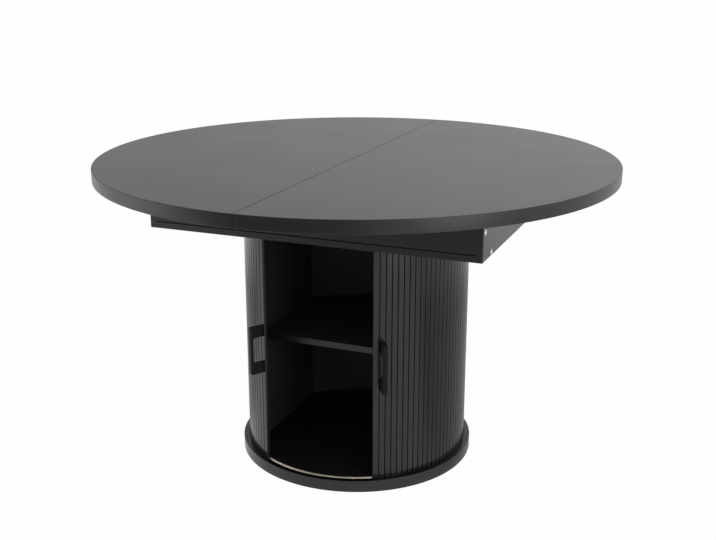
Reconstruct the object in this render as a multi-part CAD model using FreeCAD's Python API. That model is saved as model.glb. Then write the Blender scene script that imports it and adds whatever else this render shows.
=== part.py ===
"""Round extending dining table on a drum-shaped storage cabinet.

Millimetres and degrees, +Z up. The origin is on the floor under the drum's axis. +X runs along
the box under the top, the way the two half tops slide apart, and the cabinet opens to -Y.
An azimuth is measured about the drum's axis from the front, positive towards +X.
"""
import FreeCAD, Part
import math
import os

Vector = FreeCAD.Vector
UP = Vector(0, 0, 1)
DOWN = Vector(0, 0, -1)
ALONG = Vector(1, 0, 0)
ACROSS = Vector(0, 1, 0)
ORIGIN = Vector(0, 0, 0)

# Table top: two half discs that part at a seam along Y
table_height = 759.0
top_radius = 635.0
top_thickness = 30.0
top_edge_radius = 1.5
seam_gap = 0.6
seam_chamfer = 0.8
top_travel = 200.0
slide_gap = 0.4
seam_dowel_radius = 4.0
seam_dowel_length = 44.0
seam_dowel_spacing = 380.0
seam_dowel_clearance = 0.15
seam_dowel_end_clearance = 1.0

# Box under the top
box_length = 817.0
box_overhang_width = 17.5
box_height = 116.5
bottom_panel_thickness = 16.0
rail_thickness = 28.0
end_board_thickness = 18.0
end_board_edge_radius = 2.0
shadow_chamfer = 1.6
joint_chamfer = 0.8
end_screw_head_radius = 7.0
end_screw_head_height = 1.2
end_screw_shank_radius = 3.0
end_screw_length = 50.0
rail_screw_inset = 16.0
rail_screw_drop = 52.5
panel_screw_offset = 231.0
corner_block_size = 45.0
corner_block_drop = 4.0

# Guide rails and runners that carry the half tops
guide_width = 24.0
guide_height = 24.0
guide_wall_thickness = 2.5
guide_slot_width = 9.0
guide_drop = 5.0
guide_screw_radius = 2.0
guide_screw_head_radius = 3.5
guide_screw_head_height = 1.8
guide_screw_length = 20.0
guide_screw_pitch = 170.0
guide_screw_count = 5
runner_length = 180.0
runner_clearance = 0.4
runner_neck_width = 8.0
runner_flange_thickness = 3.4
runner_centre_gap = 10.0
runner_screw_inset = 25.0

# Stored extension leaf, folded in two and turned a quarter about its swivel
leaf_thickness = 28.0
leaf_fold_gap = 1.0
leaf_bearer_height = 20.0
leaf_bearer_width = 30.0
leaf_bearer_offset = 95.0
leaf_hinge_width = 60.0
leaf_hinge_plate_thickness = 2.0
leaf_hinge_plate_height = 16.0
leaf_hinge_barrel_radius = 3.0
leaf_hinge_spacing = 140.0
swivel_plate_radius = 45.0
swivel_plate_thickness = 4.0
swivel_pin_radius = 8.0
swivel_pin_clearance = 0.1

# Drum cabinet
drum_radius = 281.5
base_ledge_width = 15.0
base_thickness = 29.0
base_edge_radius = 1.0
floor_glide_radius = 20.0
floor_glide_thickness = 2.0
floor_glide_inset = 47.0
floor_glide_count = 6
carcass_gap = 3.8
side_panel_inset = 59.0
side_panel_thickness = 15.0
back_shell_thickness = 6.0
shelf_height = 318.5
shelf_thickness = 16.0
shelf_front_offset = 132.0
shelf_clearance = 0.5
shelf_pin_radius = 2.5
shelf_pin_length = 20.0
shelf_pin_offset = 95.0
carcass_screw_head_radius = 5.0
carcass_screw_head_height = 4.0
carcass_screw_radius = 3.0
carcass_screw_length = 50.0
carcass_screw_spacing = 90.0

# Tambour doors and their tracks
door_opening_azimuth = 30.0
rear_azimuth = 180.0
slat_pitch = 3.0
slat_thickness = 6.0
slat_groove_width = 1.7
slat_chamfer = 1.0
backing_thickness = 1.2
track_wall_thickness = 1.0
track_side_clearance = 0.3
lower_track_depth = 3.0
upper_track_depth = 8.0
slat_top_clearance = 2.0
backing_end_clearance = 1.0
door_glide_thickness = 1.0
door_glide_clearance = 0.1
door_glide_inset = 0.6
door_glide_stride = 8

# Bow handles
handle_height = 121.0
handle_width = 10.5
handle_projection = 35.5
handle_grip_thickness = 7.5
handle_arm_height = 27.5
handle_corner_radius = 3.0
handle_inner_radius = 5.0
handle_centre_height = 319.0
left_handle_azimuth = -32.1
right_handle_azimuth = 34.2
handle_screw_radius = 2.0
handle_screw_hole_clearance = 0.2
handle_screw_head_radius = 4.0
handle_screw_head_height = 2.4
handle_screw_grip = 14.0

# How far a cutting shape runs past the face that it opens
overshoot = 1.0

# Levels and radii that follow from the driving dimensions
top_underside = table_height - top_thickness
box_top = top_underside - slide_gap
box_bottom = box_top - box_height
box_floor = box_bottom + bottom_panel_thickness
box_half_length = box_length / 2
box_half_width = drum_radius + box_overhang_width
box_inner_x = box_half_length - end_board_thickness
box_inner_y = box_half_width - rail_thickness
base_radius = drum_radius + base_ledge_width
base_bottom = floor_glide_thickness
base_top = base_bottom + base_thickness
lower_track_floor = base_top - lower_track_depth
upper_track_roof = box_bottom + upper_track_depth
slat_bottom = lower_track_floor + door_glide_clearance + door_glide_thickness
slat_top = upper_track_roof - slat_top_clearance
slat_inner_radius = drum_radius - slat_thickness
backing_inner_radius = slat_inner_radius - backing_thickness
handle_screw_seat = math.sqrt(backing_inner_radius ** 2 - handle_screw_head_radius ** 2)
track_inner_radius = slat_inner_radius - track_side_clearance
track_outer_radius = drum_radius + track_side_clearance
carcass_radius = backing_inner_radius - handle_screw_head_height - carcass_gap
shell_inner_radius = carcass_radius - back_shell_thickness
side_panel_offset = shell_inner_radius - side_panel_inset
side_panel_outer = side_panel_offset + side_panel_thickness
door_span = rear_azimuth - door_opening_azimuth
slat_count = max(2, round(door_span / slat_pitch))
slat_step = door_span / slat_count
guide_top = box_top - guide_drop
guide_bottom = guide_top - guide_height
guide_centre_y = box_inner_y - guide_width / 2
leaf_width = 2 * top_travel
leaf_bottom = box_floor + leaf_bearer_height


def box(low, high):
    """A block between two opposite corners."""
    size = [b - a for a, b in zip(low, high)]
    return Part.makeBox(*size, Vector(*low))


def disc(radius, bottom, top, x=0.0, y=0.0):
    """An upright cylinder between two levels."""
    return Part.makeCylinder(radius, top - bottom, Vector(x, y, bottom))


def ring(inner, outer, bottom, top):
    """An upright tube about the drum's axis."""
    return disc(outer, bottom, top).cut(disc(inner, bottom - overshoot, top + overshoot))


def arc_wall(inner, outer, bottom, top, start, end):
    """A curved wall about the drum's axis, from one azimuth to another."""
    height = top - bottom
    solid = Part.makeCylinder(outer, height, Vector(0, 0, bottom), UP, end - start)
    core = Part.makeCylinder(inner, height, Vector(0, 0, bottom), UP, 360)
    wall = solid.cut(core)
    wall.rotate(ORIGIN, UP, start - 90)
    return wall


def polar(radius, azimuth, height=0.0):
    """The point at a radius and an azimuth."""
    angle = math.radians(azimuth)
    return Vector(radius * math.sin(angle), -radius * math.cos(angle), height)


def prism(points, rise):
    """A closed outline, extruded along a vector."""
    wire = Part.makePolygon(points + points[:1])
    return Part.Face(wire).extrude(rise)


def mirror_x(shape):
    """The same piece on the other side of the drum's axis."""
    return shape.mirror(ORIGIN, ALONG)


def same(shape):
    """The piece as it is, for the side that isn't mirrored."""
    return shape


def screw(head_place, direction, head_radius, head_height, radius, length):
    """A screw whose head starts at a place and whose shank runs along a direction."""
    head = Part.makeCylinder(head_radius, head_height, head_place, direction)
    shank = Part.makeCylinder(radius, length, head_place, direction)
    return head.fuse(shank).removeSplitter()


def without(shape, cutters):
    """A piece with others cut out of it."""
    return shape.cut(Part.makeCompound(cutters)) if cutters else shape


def edges_at(shape, test):
    """The edges whose two ends and middle all pass a test."""
    found = []
    for edge in shape.Edges:
        middle = edge.valueAt((edge.FirstParameter + edge.LastParameter) / 2)
        points = [vertex.Point for vertex in edge.Vertexes] + [middle]
        if all(test(point) for point in points):
            found.append(edge)
    return found


def close(a, b):
    """Whether two lengths are the same."""
    return abs(a - b) < 1e-4


# Table top

def seam_rods(radius, start, end):
    """Rods along X at the places of the seam's dowels."""
    middle = top_underside + top_thickness / 2
    return [Part.makeCylinder(radius, end - start, Vector(start, y, middle), ALONG)
            for y in (-seam_dowel_spacing, 0.0, seam_dowel_spacing)]


def seam_dowels():
    """The pins that stand out of the right half's seam."""
    reach = seam_dowel_length / 2
    return seam_rods(seam_dowel_radius, -reach, reach)


def seam_dowel_holes():
    """The holes that the pins slide into, in the left half."""
    depth = seam_dowel_length / 2 + seam_dowel_end_clearance
    return seam_rods(seam_dowel_radius + seam_dowel_clearance, -depth, 0)


def rim_corner(level, turn):
    """The rounded corner of the top's rim at a level; turn is 1 at the underside and -1 above."""
    radius = top_edge_radius
    share = radius * (1 - math.sqrt(0.5))
    flat_end = Vector(top_radius - radius, 0, level)
    middle = Vector(top_radius - share, 0, level + turn * share)
    wall_end = Vector(top_radius, 0, level + turn * radius)
    return Part.Arc(flat_end, middle, wall_end), flat_end, wall_end


def half_top_blank():
    """The right half of the top, with its rim rounded and its seam edge eased."""
    low, high = Vector(0, 0, top_underside), Vector(0, 0, table_height)
    low_arc, low_flat, low_wall = rim_corner(top_underside, 1)
    high_arc, high_flat, high_wall = rim_corner(table_height, -1)
    edges = [
        Part.LineSegment(low, low_flat),
        low_arc,
        Part.LineSegment(low_wall, high_wall),
        high_arc,
        Part.LineSegment(high_flat, high),
        Part.LineSegment(high, low),
    ]
    outline = Part.Wire([edge.toShape() for edge in edges])
    half = Part.Face(outline).revolve(ORIGIN, UP, 180)
    half.rotate(ORIGIN, UP, -90)
    far = top_radius + overshoot
    seam = box((-overshoot, -far, top_underside - overshoot), (seam_gap / 2, far, table_height + overshoot))
    easing = prism([Vector(seam_gap / 2, -far, table_height - seam_chamfer),
                    Vector(seam_gap / 2 + seam_chamfer, -far, table_height),
                    Vector(seam_gap / 2, -far, table_height)], Vector(0, 2 * far, 0))
    return half.cut(seam).cut(easing)


def runner(side):
    """A right-hand runner: foot in the guide rail, neck through its slot, flange under the top."""
    start = runner_centre_gap / 2
    end = start + runner_length
    foot_half = guide_width / 2 - guide_wall_thickness - runner_clearance
    foot_low = guide_bottom + guide_wall_thickness + runner_clearance
    foot_high = guide_top - guide_wall_thickness - runner_clearance
    flange_low = top_underside - runner_flange_thickness
    foot = box((start, -foot_half, foot_low), (end, foot_half, foot_high))
    neck = box((start, -runner_neck_width / 2, foot_high), (end, runner_neck_width / 2, flange_low))
    flange_half = guide_width / 2 - runner_clearance
    flange = box((start, -flange_half, flange_low), (end, flange_half, top_underside))
    piece = foot.fuse([neck, flange]).removeSplitter()
    piece.translate(Vector(0, side * guide_centre_y, 0))
    return without(piece, runner_screws(side))


def runner_screws(side):
    """The two screws of a right-hand runner, up through its flange beside the neck."""
    low = top_underside - runner_flange_thickness
    offset = (runner_neck_width + guide_width) / 4
    first = runner_centre_gap / 2 + runner_screw_inset
    last = runner_centre_gap / 2 + runner_length - runner_screw_inset
    return [screw(Vector(x, side * guide_centre_y + turn * offset, low), UP, guide_screw_head_radius,
                  guide_screw_head_height, guide_screw_radius, guide_screw_length)
            for x, turn in ((first, 1), (last, -1))]


# Box under the top

def end_screws():
    """The screws through both end boards, into the rails and the bottom panel."""
    rail_y = box_half_width - rail_screw_inset
    rail_z = box_top - rail_screw_drop
    panel_z = box_bottom + bottom_panel_thickness / 2
    head_x = box_half_length + end_screw_head_height
    right = [screw(Vector(head_x, y, z), -ALONG, end_screw_head_radius, end_screw_head_height,
                   end_screw_shank_radius, end_screw_length)
             for y, z in ((-rail_y, rail_z), (rail_y, rail_z), (-panel_screw_offset, panel_z),
                          (panel_screw_offset, panel_z))]
    return right + [mirror_x(piece) for piece in right]


def carcass_screws():
    """The screws down through the box's bottom panel into the side panels."""
    x = side_panel_offset + side_panel_thickness / 2
    return [screw(Vector(sign * x, y, box_floor), DOWN, carcass_screw_head_radius, carcass_screw_head_height,
                  carcass_screw_radius, carcass_screw_length)
            for sign in (-1, 1) for y in (-carcass_screw_spacing, 0.0, carcass_screw_spacing)]


def base_screws():
    """The screws up through the plinth board into the side panels."""
    x = side_panel_offset + side_panel_thickness / 2
    return [screw(Vector(sign * x, y, base_bottom), UP, carcass_screw_head_radius, carcass_screw_head_height,
                  carcass_screw_radius, carcass_screw_length)
            for sign in (-1, 1) for y in (-carcass_screw_spacing, 0.0, carcass_screw_spacing)]


def upper_track():
    """The channel for the doors' upper ends, let into the underside of the box."""
    outer = track_outer_radius + track_wall_thickness
    inner = track_inner_radius - track_wall_thickness
    body = ring(inner, outer, box_bottom, upper_track_roof + track_wall_thickness)
    return body.cut(ring(track_inner_radius, track_outer_radius, box_bottom - overshoot, upper_track_roof))


def box_bottom_panel():
    """The panel that the box's rails stand on and the drum's top meets."""
    panel = box((-box_inner_x, -box_half_width, box_bottom), (box_inner_x, box_half_width, box_floor))
    long_edges = edges_at(panel, lambda p: close(p.z, box_floor) and close(abs(p.y), box_half_width))
    panel = panel.makeChamfer(min(shadow_chamfer, bottom_panel_thickness / 3), long_edges)
    ends = edges_at(panel, lambda p: close(abs(p.x), box_inner_x) and close(abs(p.y), box_half_width))
    panel = panel.makeChamfer(min(joint_chamfer, bottom_panel_thickness / 3), ends)
    groove = ring(track_inner_radius - track_wall_thickness, track_outer_radius + track_wall_thickness,
                  box_bottom - overshoot, upper_track_roof + track_wall_thickness)
    return without(panel, [groove, swivel_pin()] + carcass_screws() + end_screws())


def long_rail(side):
    """A long side of the box, chamfered at its joints with the bottom panel and the end boards."""
    face = side * box_half_width
    near, far = sorted((side * box_inner_y, face))
    rail = box((-box_inner_x, near, box_floor), (box_inner_x, far, box_top))
    ends = edges_at(rail, lambda p: close(abs(p.x), box_inner_x) and close(p.y, face))
    rail = rail.makeChamfer(min(joint_chamfer, rail_thickness / 3), ends)
    low_edge = edges_at(rail, lambda p: close(p.z, box_floor) and close(p.y, face))
    rail = rail.makeChamfer(min(shadow_chamfer, rail_thickness / 3), low_edge)
    return without(rail, end_screws() + guide_screws(side))


def right_end_board():
    """The end of the box, with its outer edges rounded."""
    board = box((box_inner_x, -box_half_width, box_bottom), (box_half_length, box_half_width, box_top))
    outer = edges_at(board, lambda p: close(p.x, box_half_length))
    board = board.makeFillet(min(end_board_edge_radius, end_board_thickness / 3), outer)
    joints = edges_at(board, lambda p: close(p.x, box_inner_x) and close(abs(p.y), box_half_width))
    board = board.makeChamfer(min(joint_chamfer, end_board_thickness / 3), joints)
    return without(board, end_screws())


def corner_block(sign_x, sign_y):
    """A block glued into a corner of the box, under the guide rail."""
    top = guide_bottom - corner_block_drop
    xs = sorted((sign_x * box_inner_x, sign_x * (box_inner_x - corner_block_size)))
    ys = sorted((sign_y * box_inner_y, sign_y * (box_inner_y - corner_block_size)))
    block = box((xs[0], ys[0], box_floor), (xs[1], ys[1], top))
    return without(block, end_screws())


def guide_rail(side):
    """A channel along the inside of a long rail, open at a slot in its top."""
    half = guide_width / 2
    rail = box((-box_inner_x, -half, guide_bottom), (box_inner_x, half, guide_top))
    end = box_inner_x + overshoot
    hollow = box((-end, guide_wall_thickness - half, guide_bottom + guide_wall_thickness),
                 (end, half - guide_wall_thickness, guide_top - guide_wall_thickness))
    slot = box((-end, -guide_slot_width / 2, guide_top - guide_wall_thickness - overshoot),
               (end, guide_slot_width / 2, guide_top + overshoot))
    rail = rail.cut(hollow.fuse(slot))
    rail.translate(Vector(0, side * guide_centre_y, 0))
    return without(rail, guide_screws(side))


def guide_screws(side):
    """The flush screws that hold a guide rail to the long rail beside it."""
    y = side * (box_inner_y - guide_wall_thickness)
    z = (guide_bottom + guide_top) / 2
    first = -guide_screw_pitch * (guide_screw_count - 1) / 2
    return [screw(Vector(first + guide_screw_pitch * index, y, z), ACROSS * side, guide_screw_head_radius,
                  guide_screw_head_height, guide_screw_radius, guide_screw_length)
            for index in range(guide_screw_count)]


# Stored leaf

def leaf_hinge_places():
    """Where the fold's hinges sit across the leaf."""
    return [-leaf_hinge_spacing, 0.0, leaf_hinge_spacing]


def leaf_fold_level():
    """The level half way between the two folded halves."""
    return leaf_bottom + leaf_thickness + leaf_fold_gap / 2


def leaf_hinges():
    """Hinges let into the ends of both halves, their barrels on the fold."""
    end = top_radius / 2
    middle = leaf_fold_level()
    hinges = []
    for y in leaf_hinge_places():
        low, high = y - leaf_hinge_width / 2, y + leaf_hinge_width / 2
        plate = box((end - leaf_hinge_plate_thickness, low, middle - leaf_hinge_plate_height),
                    (end, high, middle + leaf_hinge_plate_height))
        barrel = Part.makeCylinder(leaf_hinge_barrel_radius, leaf_hinge_width, Vector(end, low, middle),
                                   ACROSS)
        hinges.append(plate.fuse(barrel).removeSplitter())
    return hinges


def leaf_half(bottom):
    """One folded half of the leaf, lying lengthwise in the box."""
    board = box((-top_radius / 2, -leaf_width / 2, bottom),
                (top_radius / 2, leaf_width / 2, bottom + leaf_thickness))
    return without(board, leaf_hinges() + [swivel_recess()])


def leaf_bearer(side):
    """A batten across the box that the stored leaf lies on."""
    middle = side * leaf_bearer_offset
    return box((-top_radius / 2, middle - leaf_bearer_width / 2, box_floor),
               (top_radius / 2, middle + leaf_bearer_width / 2, leaf_bottom))


def swivel_centre():
    """The point about which the folded leaf turns a quarter to lie across the seam."""
    offset = top_radius / 4
    return Vector(offset, offset, 0)


def swivel_pin():
    """The pin that the leaf's plate turns on, standing in the box's bottom panel."""
    centre = swivel_centre()
    bottom = box_floor - bottom_panel_thickness / 3
    top = leaf_bottom + swivel_plate_thickness
    return disc(swivel_pin_radius, bottom, top, centre.x, centre.y)


def swivel_plate():
    """The round plate let into the underside of the lower half."""
    centre = swivel_centre()
    top = leaf_bottom + swivel_plate_thickness
    plate = disc(swivel_plate_radius, leaf_bottom, top, centre.x, centre.y)
    hole = disc(swivel_pin_radius + swivel_pin_clearance, leaf_bottom - overshoot, top + overshoot,
                centre.x, centre.y)
    return plate.cut(hole)


def swivel_recess():
    """The round recess that the swivel plate and its pin need in the leaf."""
    centre = swivel_centre()
    top = leaf_bottom + swivel_plate_thickness
    return disc(swivel_plate_radius, leaf_bottom - overshoot, top, centre.x, centre.y)


# Drum cabinet

def base_board():
    """The plinth board, grooved for the lower track and bored for the side panels' screws."""
    board = disc(base_radius, base_bottom, base_top)
    rims = edges_at(board, lambda p: close(math.hypot(p.x, p.y), base_radius) and close(p.z, base_top))
    board = board.makeFillet(base_edge_radius, rims)
    groove = ring(track_inner_radius - track_wall_thickness, track_outer_radius + track_wall_thickness,
                  lower_track_floor - track_wall_thickness, base_top + overshoot)
    return without(board, [groove] + base_screws())


def floor_glides():
    """The discs that the plinth stands on."""
    step = 360 / floor_glide_count
    places = [polar(base_radius - floor_glide_inset, step * index) for index in range(floor_glide_count)]
    return [disc(floor_glide_radius, 0, floor_glide_thickness, place.x, place.y) for place in places]


def lower_track():
    """The metal channel in the plinth that the doors' lower ends run in."""
    outer = track_outer_radius + track_wall_thickness
    inner = track_inner_radius - track_wall_thickness
    body = ring(inner, outer, lower_track_floor - track_wall_thickness, base_top)
    return body.cut(ring(track_inner_radius, track_outer_radius, lower_track_floor, base_top + overshoot))


def right_side_panel():
    """The flat side of the carcass; its ends follow the back shell's inner face."""
    slab = box((side_panel_offset, -shell_inner_radius, base_top),
               (side_panel_outer, shell_inner_radius, box_bottom))
    panel = slab.common(disc(shell_inner_radius, base_top, box_bottom))
    return without(panel, shelf_pins() + base_screws() + carcass_screws())


def back_shell():
    """The curved back of the compartment, from one side panel round to the other."""
    half_angle = math.degrees(math.asin(min(0.99, side_panel_outer / shell_inner_radius)))
    return arc_wall(shell_inner_radius, carcass_radius, base_top, box_bottom,
                    rear_azimuth - half_angle, rear_azimuth + half_angle)


def shelf():
    """The loose shelf, straight in front and curved at the back like the shell."""
    side = side_panel_offset - shelf_clearance
    bottom = shelf_height - shelf_thickness
    slab = box((-side, -shelf_front_offset, bottom), (side, shell_inner_radius, shelf_height))
    return slab.common(disc(shell_inner_radius - shelf_clearance, bottom, shelf_height))


def shelf_pins():
    """The pins in the side panels that the shelf lies on."""
    z = shelf_height - shelf_thickness - shelf_pin_radius
    start = side_panel_offset - shelf_pin_length / 2
    right = [Part.makeCylinder(shelf_pin_radius, shelf_pin_length, Vector(start, y, z), ALONG)
             for y in (-shelf_pin_offset, shelf_pin_offset)]
    return right + [mirror_x(pin) for pin in right]


# Tambour doors, built on the right and mirrored for the left

def strip(start, end):
    """One upright strip of a door between two azimuths, its outer edges chamfered."""
    ease = math.degrees(slat_chamfer / drum_radius)
    outline = [
        polar(slat_inner_radius, start, slat_bottom),
        polar(drum_radius - slat_chamfer, start, slat_bottom),
        polar(drum_radius, start + ease, slat_bottom),
        polar(drum_radius, end - ease, slat_bottom),
        polar(drum_radius - slat_chamfer, end, slat_bottom),
        polar(slat_inner_radius, end, slat_bottom),
    ]
    return prism(outline, Vector(0, 0, slat_top - slat_bottom))


def half_groove():
    """Half the angle of the groove between two strips."""
    return math.degrees(slat_groove_width / 2 / drum_radius)


def leading_stile(holes):
    """The plain strip at a door's leading edge."""
    start = door_opening_azimuth
    return without(strip(start, start + slat_step - half_groove()), holes)


def slats(holes):
    """The strips behind the leading stile, each a solid of its own."""
    pieces = []
    for index in range(1, slat_count):
        start = door_opening_azimuth + slat_step * index
        piece = strip(start + half_groove(), start + slat_step - half_groove())
        near = [hole for hole in holes if hole.BoundBox.intersect(piece.BoundBox)]
        pieces.append(without(piece, near))
    return pieces


def backing(holes):
    """The sheet that joins the strips, between the two tracks."""
    sheet = arc_wall(backing_inner_radius, slat_inner_radius * math.cos(math.radians(slat_step / 2)),
                     base_top + backing_end_clearance, box_bottom - backing_end_clearance,
                     door_opening_azimuth, rear_azimuth - half_groove())
    return without(sheet, holes)


def door_glides():
    """The pads under some of the strips, which slide on the track's floor."""
    inner = slat_inner_radius + door_glide_inset
    outer = drum_radius - slat_chamfer - door_glide_inset
    bottom = slat_bottom - door_glide_thickness
    starts = [door_opening_azimuth + slat_step * index for index in range(0, slat_count, door_glide_stride)]
    return [arc_wall(inner, outer, bottom, slat_bottom, start + 2 * half_groove(),
                     start + slat_step - 2 * half_groove())
            for start in starts]


def turned(shape, azimuth):
    """A piece drawn outwards along +X, turned to an azimuth."""
    copy = shape.copy()
    copy.rotate(ORIGIN, UP, azimuth - 90)
    return copy


def handle_screw_levels():
    """The levels of a handle's two screws, in the middle of its arms."""
    reach = (handle_height - handle_arm_height) / 2
    return [handle_centre_height - reach, handle_centre_height + reach]


def handle_screws(azimuth):
    """The screws from inside the door, through the strips and into the handle's arms."""
    start = handle_screw_seat - handle_screw_head_height
    length = drum_radius - start + handle_screw_grip
    return [turned(screw(Vector(start, 0, z), ALONG, handle_screw_head_radius, handle_screw_head_height,
                         handle_screw_radius, length), azimuth)
            for z in handle_screw_levels()]


def handle_screw_holes(azimuth):
    """The clearance holes for a handle's screws through the door."""
    radius = handle_screw_radius + handle_screw_hole_clearance
    start = backing_inner_radius - overshoot
    length = drum_radius + overshoot - start
    return [turned(Part.makeCylinder(radius, length, Vector(start, 0, z), ALONG), azimuth)
            for z in handle_screw_levels()]


def handle(azimuth):
    """A bow handle: two arms that stand out from the door, and a flat grip between them."""
    low = handle_centre_height - handle_height / 2
    high = handle_centre_height + handle_height / 2
    outer = drum_radius + handle_projection
    half = handle_width / 2
    block = box((drum_radius, -half, low), (outer, half, high))
    corners = edges_at(block, lambda p: close(p.x, outer) and (close(p.z, low) or close(p.z, high)))
    block = block.makeFillet(handle_corner_radius, corners)
    gap_outer = outer - handle_grip_thickness
    gap_low = low + handle_arm_height
    gap_high = high - handle_arm_height
    gap = box((drum_radius - overshoot, -half - overshoot, gap_low),
              (gap_outer, half + overshoot, gap_high))
    inner = edges_at(gap, lambda p: close(p.x, gap_outer) and (close(p.z, gap_low) or close(p.z, gap_high)))
    gap = gap.makeFillet(min(handle_inner_radius, handle_projection / 3), inner)
    return without(turned(block.cut(gap), azimuth), handle_screws(azimuth))


def door_nodes(name, azimuth):
    """The nodes of a door, from a handle's azimuth; a negative one makes the left door."""
    flip = mirror_x if azimuth < 0 else same
    holes = handle_screw_holes(abs(azimuth))
    return {
        name + "_door_slats": [flip(piece) for piece in slats(holes)],
        name + "_door_stile": [flip(leading_stile(holes))],
        name + "_door_backing": [flip(backing(holes))],
        name + "_door_glides": [flip(pad) for pad in door_glides()],
        name + "_door_handle": [handle(azimuth)],
        name + "_door_handle_screws": handle_screws(azimuth),
    }


def top_nodes(name, flip, fitting):
    """The nodes of a half top, from what is cut out of its seam."""
    screws = runner_screws(-1) + runner_screws(1)
    board = without(half_top_blank(), screws)
    return {
        name + "_half": [flip(board).cut(Part.makeCompound(fitting))],
        name + "_front_runner": [flip(runner(-1))],
        name + "_back_runner": [flip(runner(1))],
        name + "_runner_screws": [flip(piece) for piece in screws],
    }


def all_nodes():
    """Every node of the table, as lists of solids."""
    nodes = {
        "base_board": [base_board()],
        "floor_glides": floor_glides(),
        "lower_track": [lower_track()],
        "left_side_panel": [mirror_x(right_side_panel())],
        "right_side_panel": [right_side_panel()],
        "back_shell": [back_shell()],
        "shelf": [shelf()],
        "shelf_pins": shelf_pins(),
        "base_screws": base_screws(),
        "carcass_screws": carcass_screws(),
        "upper_track": [upper_track()],
        "box_bottom_panel": [box_bottom_panel()],
        "front_rail": [long_rail(-1)],
        "back_rail": [long_rail(1)],
        "left_end_board": [mirror_x(right_end_board())],
        "right_end_board": [right_end_board()],
        "end_board_screws": end_screws(),
        "front_left_corner_block": [corner_block(-1, -1)],
        "front_right_corner_block": [corner_block(1, -1)],
        "back_left_corner_block": [corner_block(-1, 1)],
        "back_right_corner_block": [corner_block(1, 1)],
        "front_guide_rail": [guide_rail(-1)],
        "back_guide_rail": [guide_rail(1)],
        "guide_rail_screws": guide_screws(-1) + guide_screws(1),
        "leaf_lower_half": [leaf_half(leaf_bottom)],
        "leaf_upper_half": [leaf_half(leaf_bottom + leaf_thickness + leaf_fold_gap)],
        "leaf_hinges": leaf_hinges(),
        "front_leaf_bearer": [leaf_bearer(-1)],
        "back_leaf_bearer": [leaf_bearer(1)],
        "leaf_swivel_plate": [swivel_plate()],
        "leaf_swivel_pin": [swivel_pin()],
        "seam_dowels": seam_dowels(),
    }
    nodes.update(door_nodes("left", left_handle_azimuth))
    nodes.update(door_nodes("right", right_handle_azimuth))
    nodes.update(top_nodes("top_left", mirror_x, seam_dowel_holes()))
    nodes.update(top_nodes("top_right", same, seam_dowels()))
    return nodes


def export_nodes():
    """Write one STEP file per node."""
    os.makedirs("parts", exist_ok=True)
    for name, solids in all_nodes().items():
        shape = solids[0] if len(solids) == 1 else Part.makeCompound(solids)
        if not shape.isValid():
            print("not valid:", name)
        shape.exportStep("parts/" + name + ".step")
        print(name, len(shape.Solids), "solids, volume", round(shape.Volume / 1000, 1), "cm3")


export_nodes()
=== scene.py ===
"""The looks of a round extending table that stands on a drum cabinet.

Lengths are in metres and angles in degrees, in the table's own frame: the origin is on the floor under
the drum's axis, +Z is up, the two half tops slide apart along X and the cabinet opens to -Y. An azimuth
is measured about the drum's axis from the front, positive towards +X.
"""
from __future__ import annotations

import functools
import logging
import math
from dataclasses import dataclass, field
from enum import Enum
from typing import Callable, Iterable, Sequence

import bmesh
import bpy
from mathutils import Matrix, Vector


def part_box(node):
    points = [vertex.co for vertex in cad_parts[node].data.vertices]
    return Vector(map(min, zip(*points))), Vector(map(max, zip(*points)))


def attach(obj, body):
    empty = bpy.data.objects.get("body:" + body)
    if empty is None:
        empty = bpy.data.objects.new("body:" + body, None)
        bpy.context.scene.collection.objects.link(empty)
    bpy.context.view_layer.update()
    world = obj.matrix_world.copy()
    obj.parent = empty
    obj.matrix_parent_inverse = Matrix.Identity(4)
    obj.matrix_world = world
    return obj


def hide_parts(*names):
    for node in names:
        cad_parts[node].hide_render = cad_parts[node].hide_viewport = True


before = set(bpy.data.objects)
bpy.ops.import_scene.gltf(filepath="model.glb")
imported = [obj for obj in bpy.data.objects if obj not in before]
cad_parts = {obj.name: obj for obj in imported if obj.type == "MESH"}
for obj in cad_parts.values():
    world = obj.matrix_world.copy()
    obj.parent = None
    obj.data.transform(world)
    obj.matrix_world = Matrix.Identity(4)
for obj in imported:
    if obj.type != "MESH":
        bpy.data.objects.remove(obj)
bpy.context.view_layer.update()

LOG = logging.getLogger("table")
MM = 0.001
NEAR = 0.01 * MM
SAME_CORNER = 0.001 * MM
SAME_POINT = 0.0001 * MM
UP = Vector((0, 0, 1))
DOWN = -UP
FACING_UP = 0.99
DRUM_RADIUS = 281.5 * MM
ROUND_STEPS = 288

Colour = tuple[float, float, float, float]
Span = tuple[float, float]
Profile = list[tuple[float, float]]
Place = tuple[Vector, Vector]
Sockets = dict[str | int, object]
Loop = Sequence[bmesh.types.BMVert]


class Side(Enum):
    """The two sides of the table, as the sign of X."""

    LEFT = -1
    RIGHT = 1

    @property
    def label(self) -> str:
        """The word that names this side's nodes."""
        return self.name.lower()


HANDLE_AZIMUTH = {Side.LEFT: -32.1, Side.RIGHT: 34.2}


class Recess(Enum):
    """The socket in a screw's head, as the sides that repeat about its axis."""

    HEXAGON = 6
    CROSS = 4


# Node trees


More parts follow.
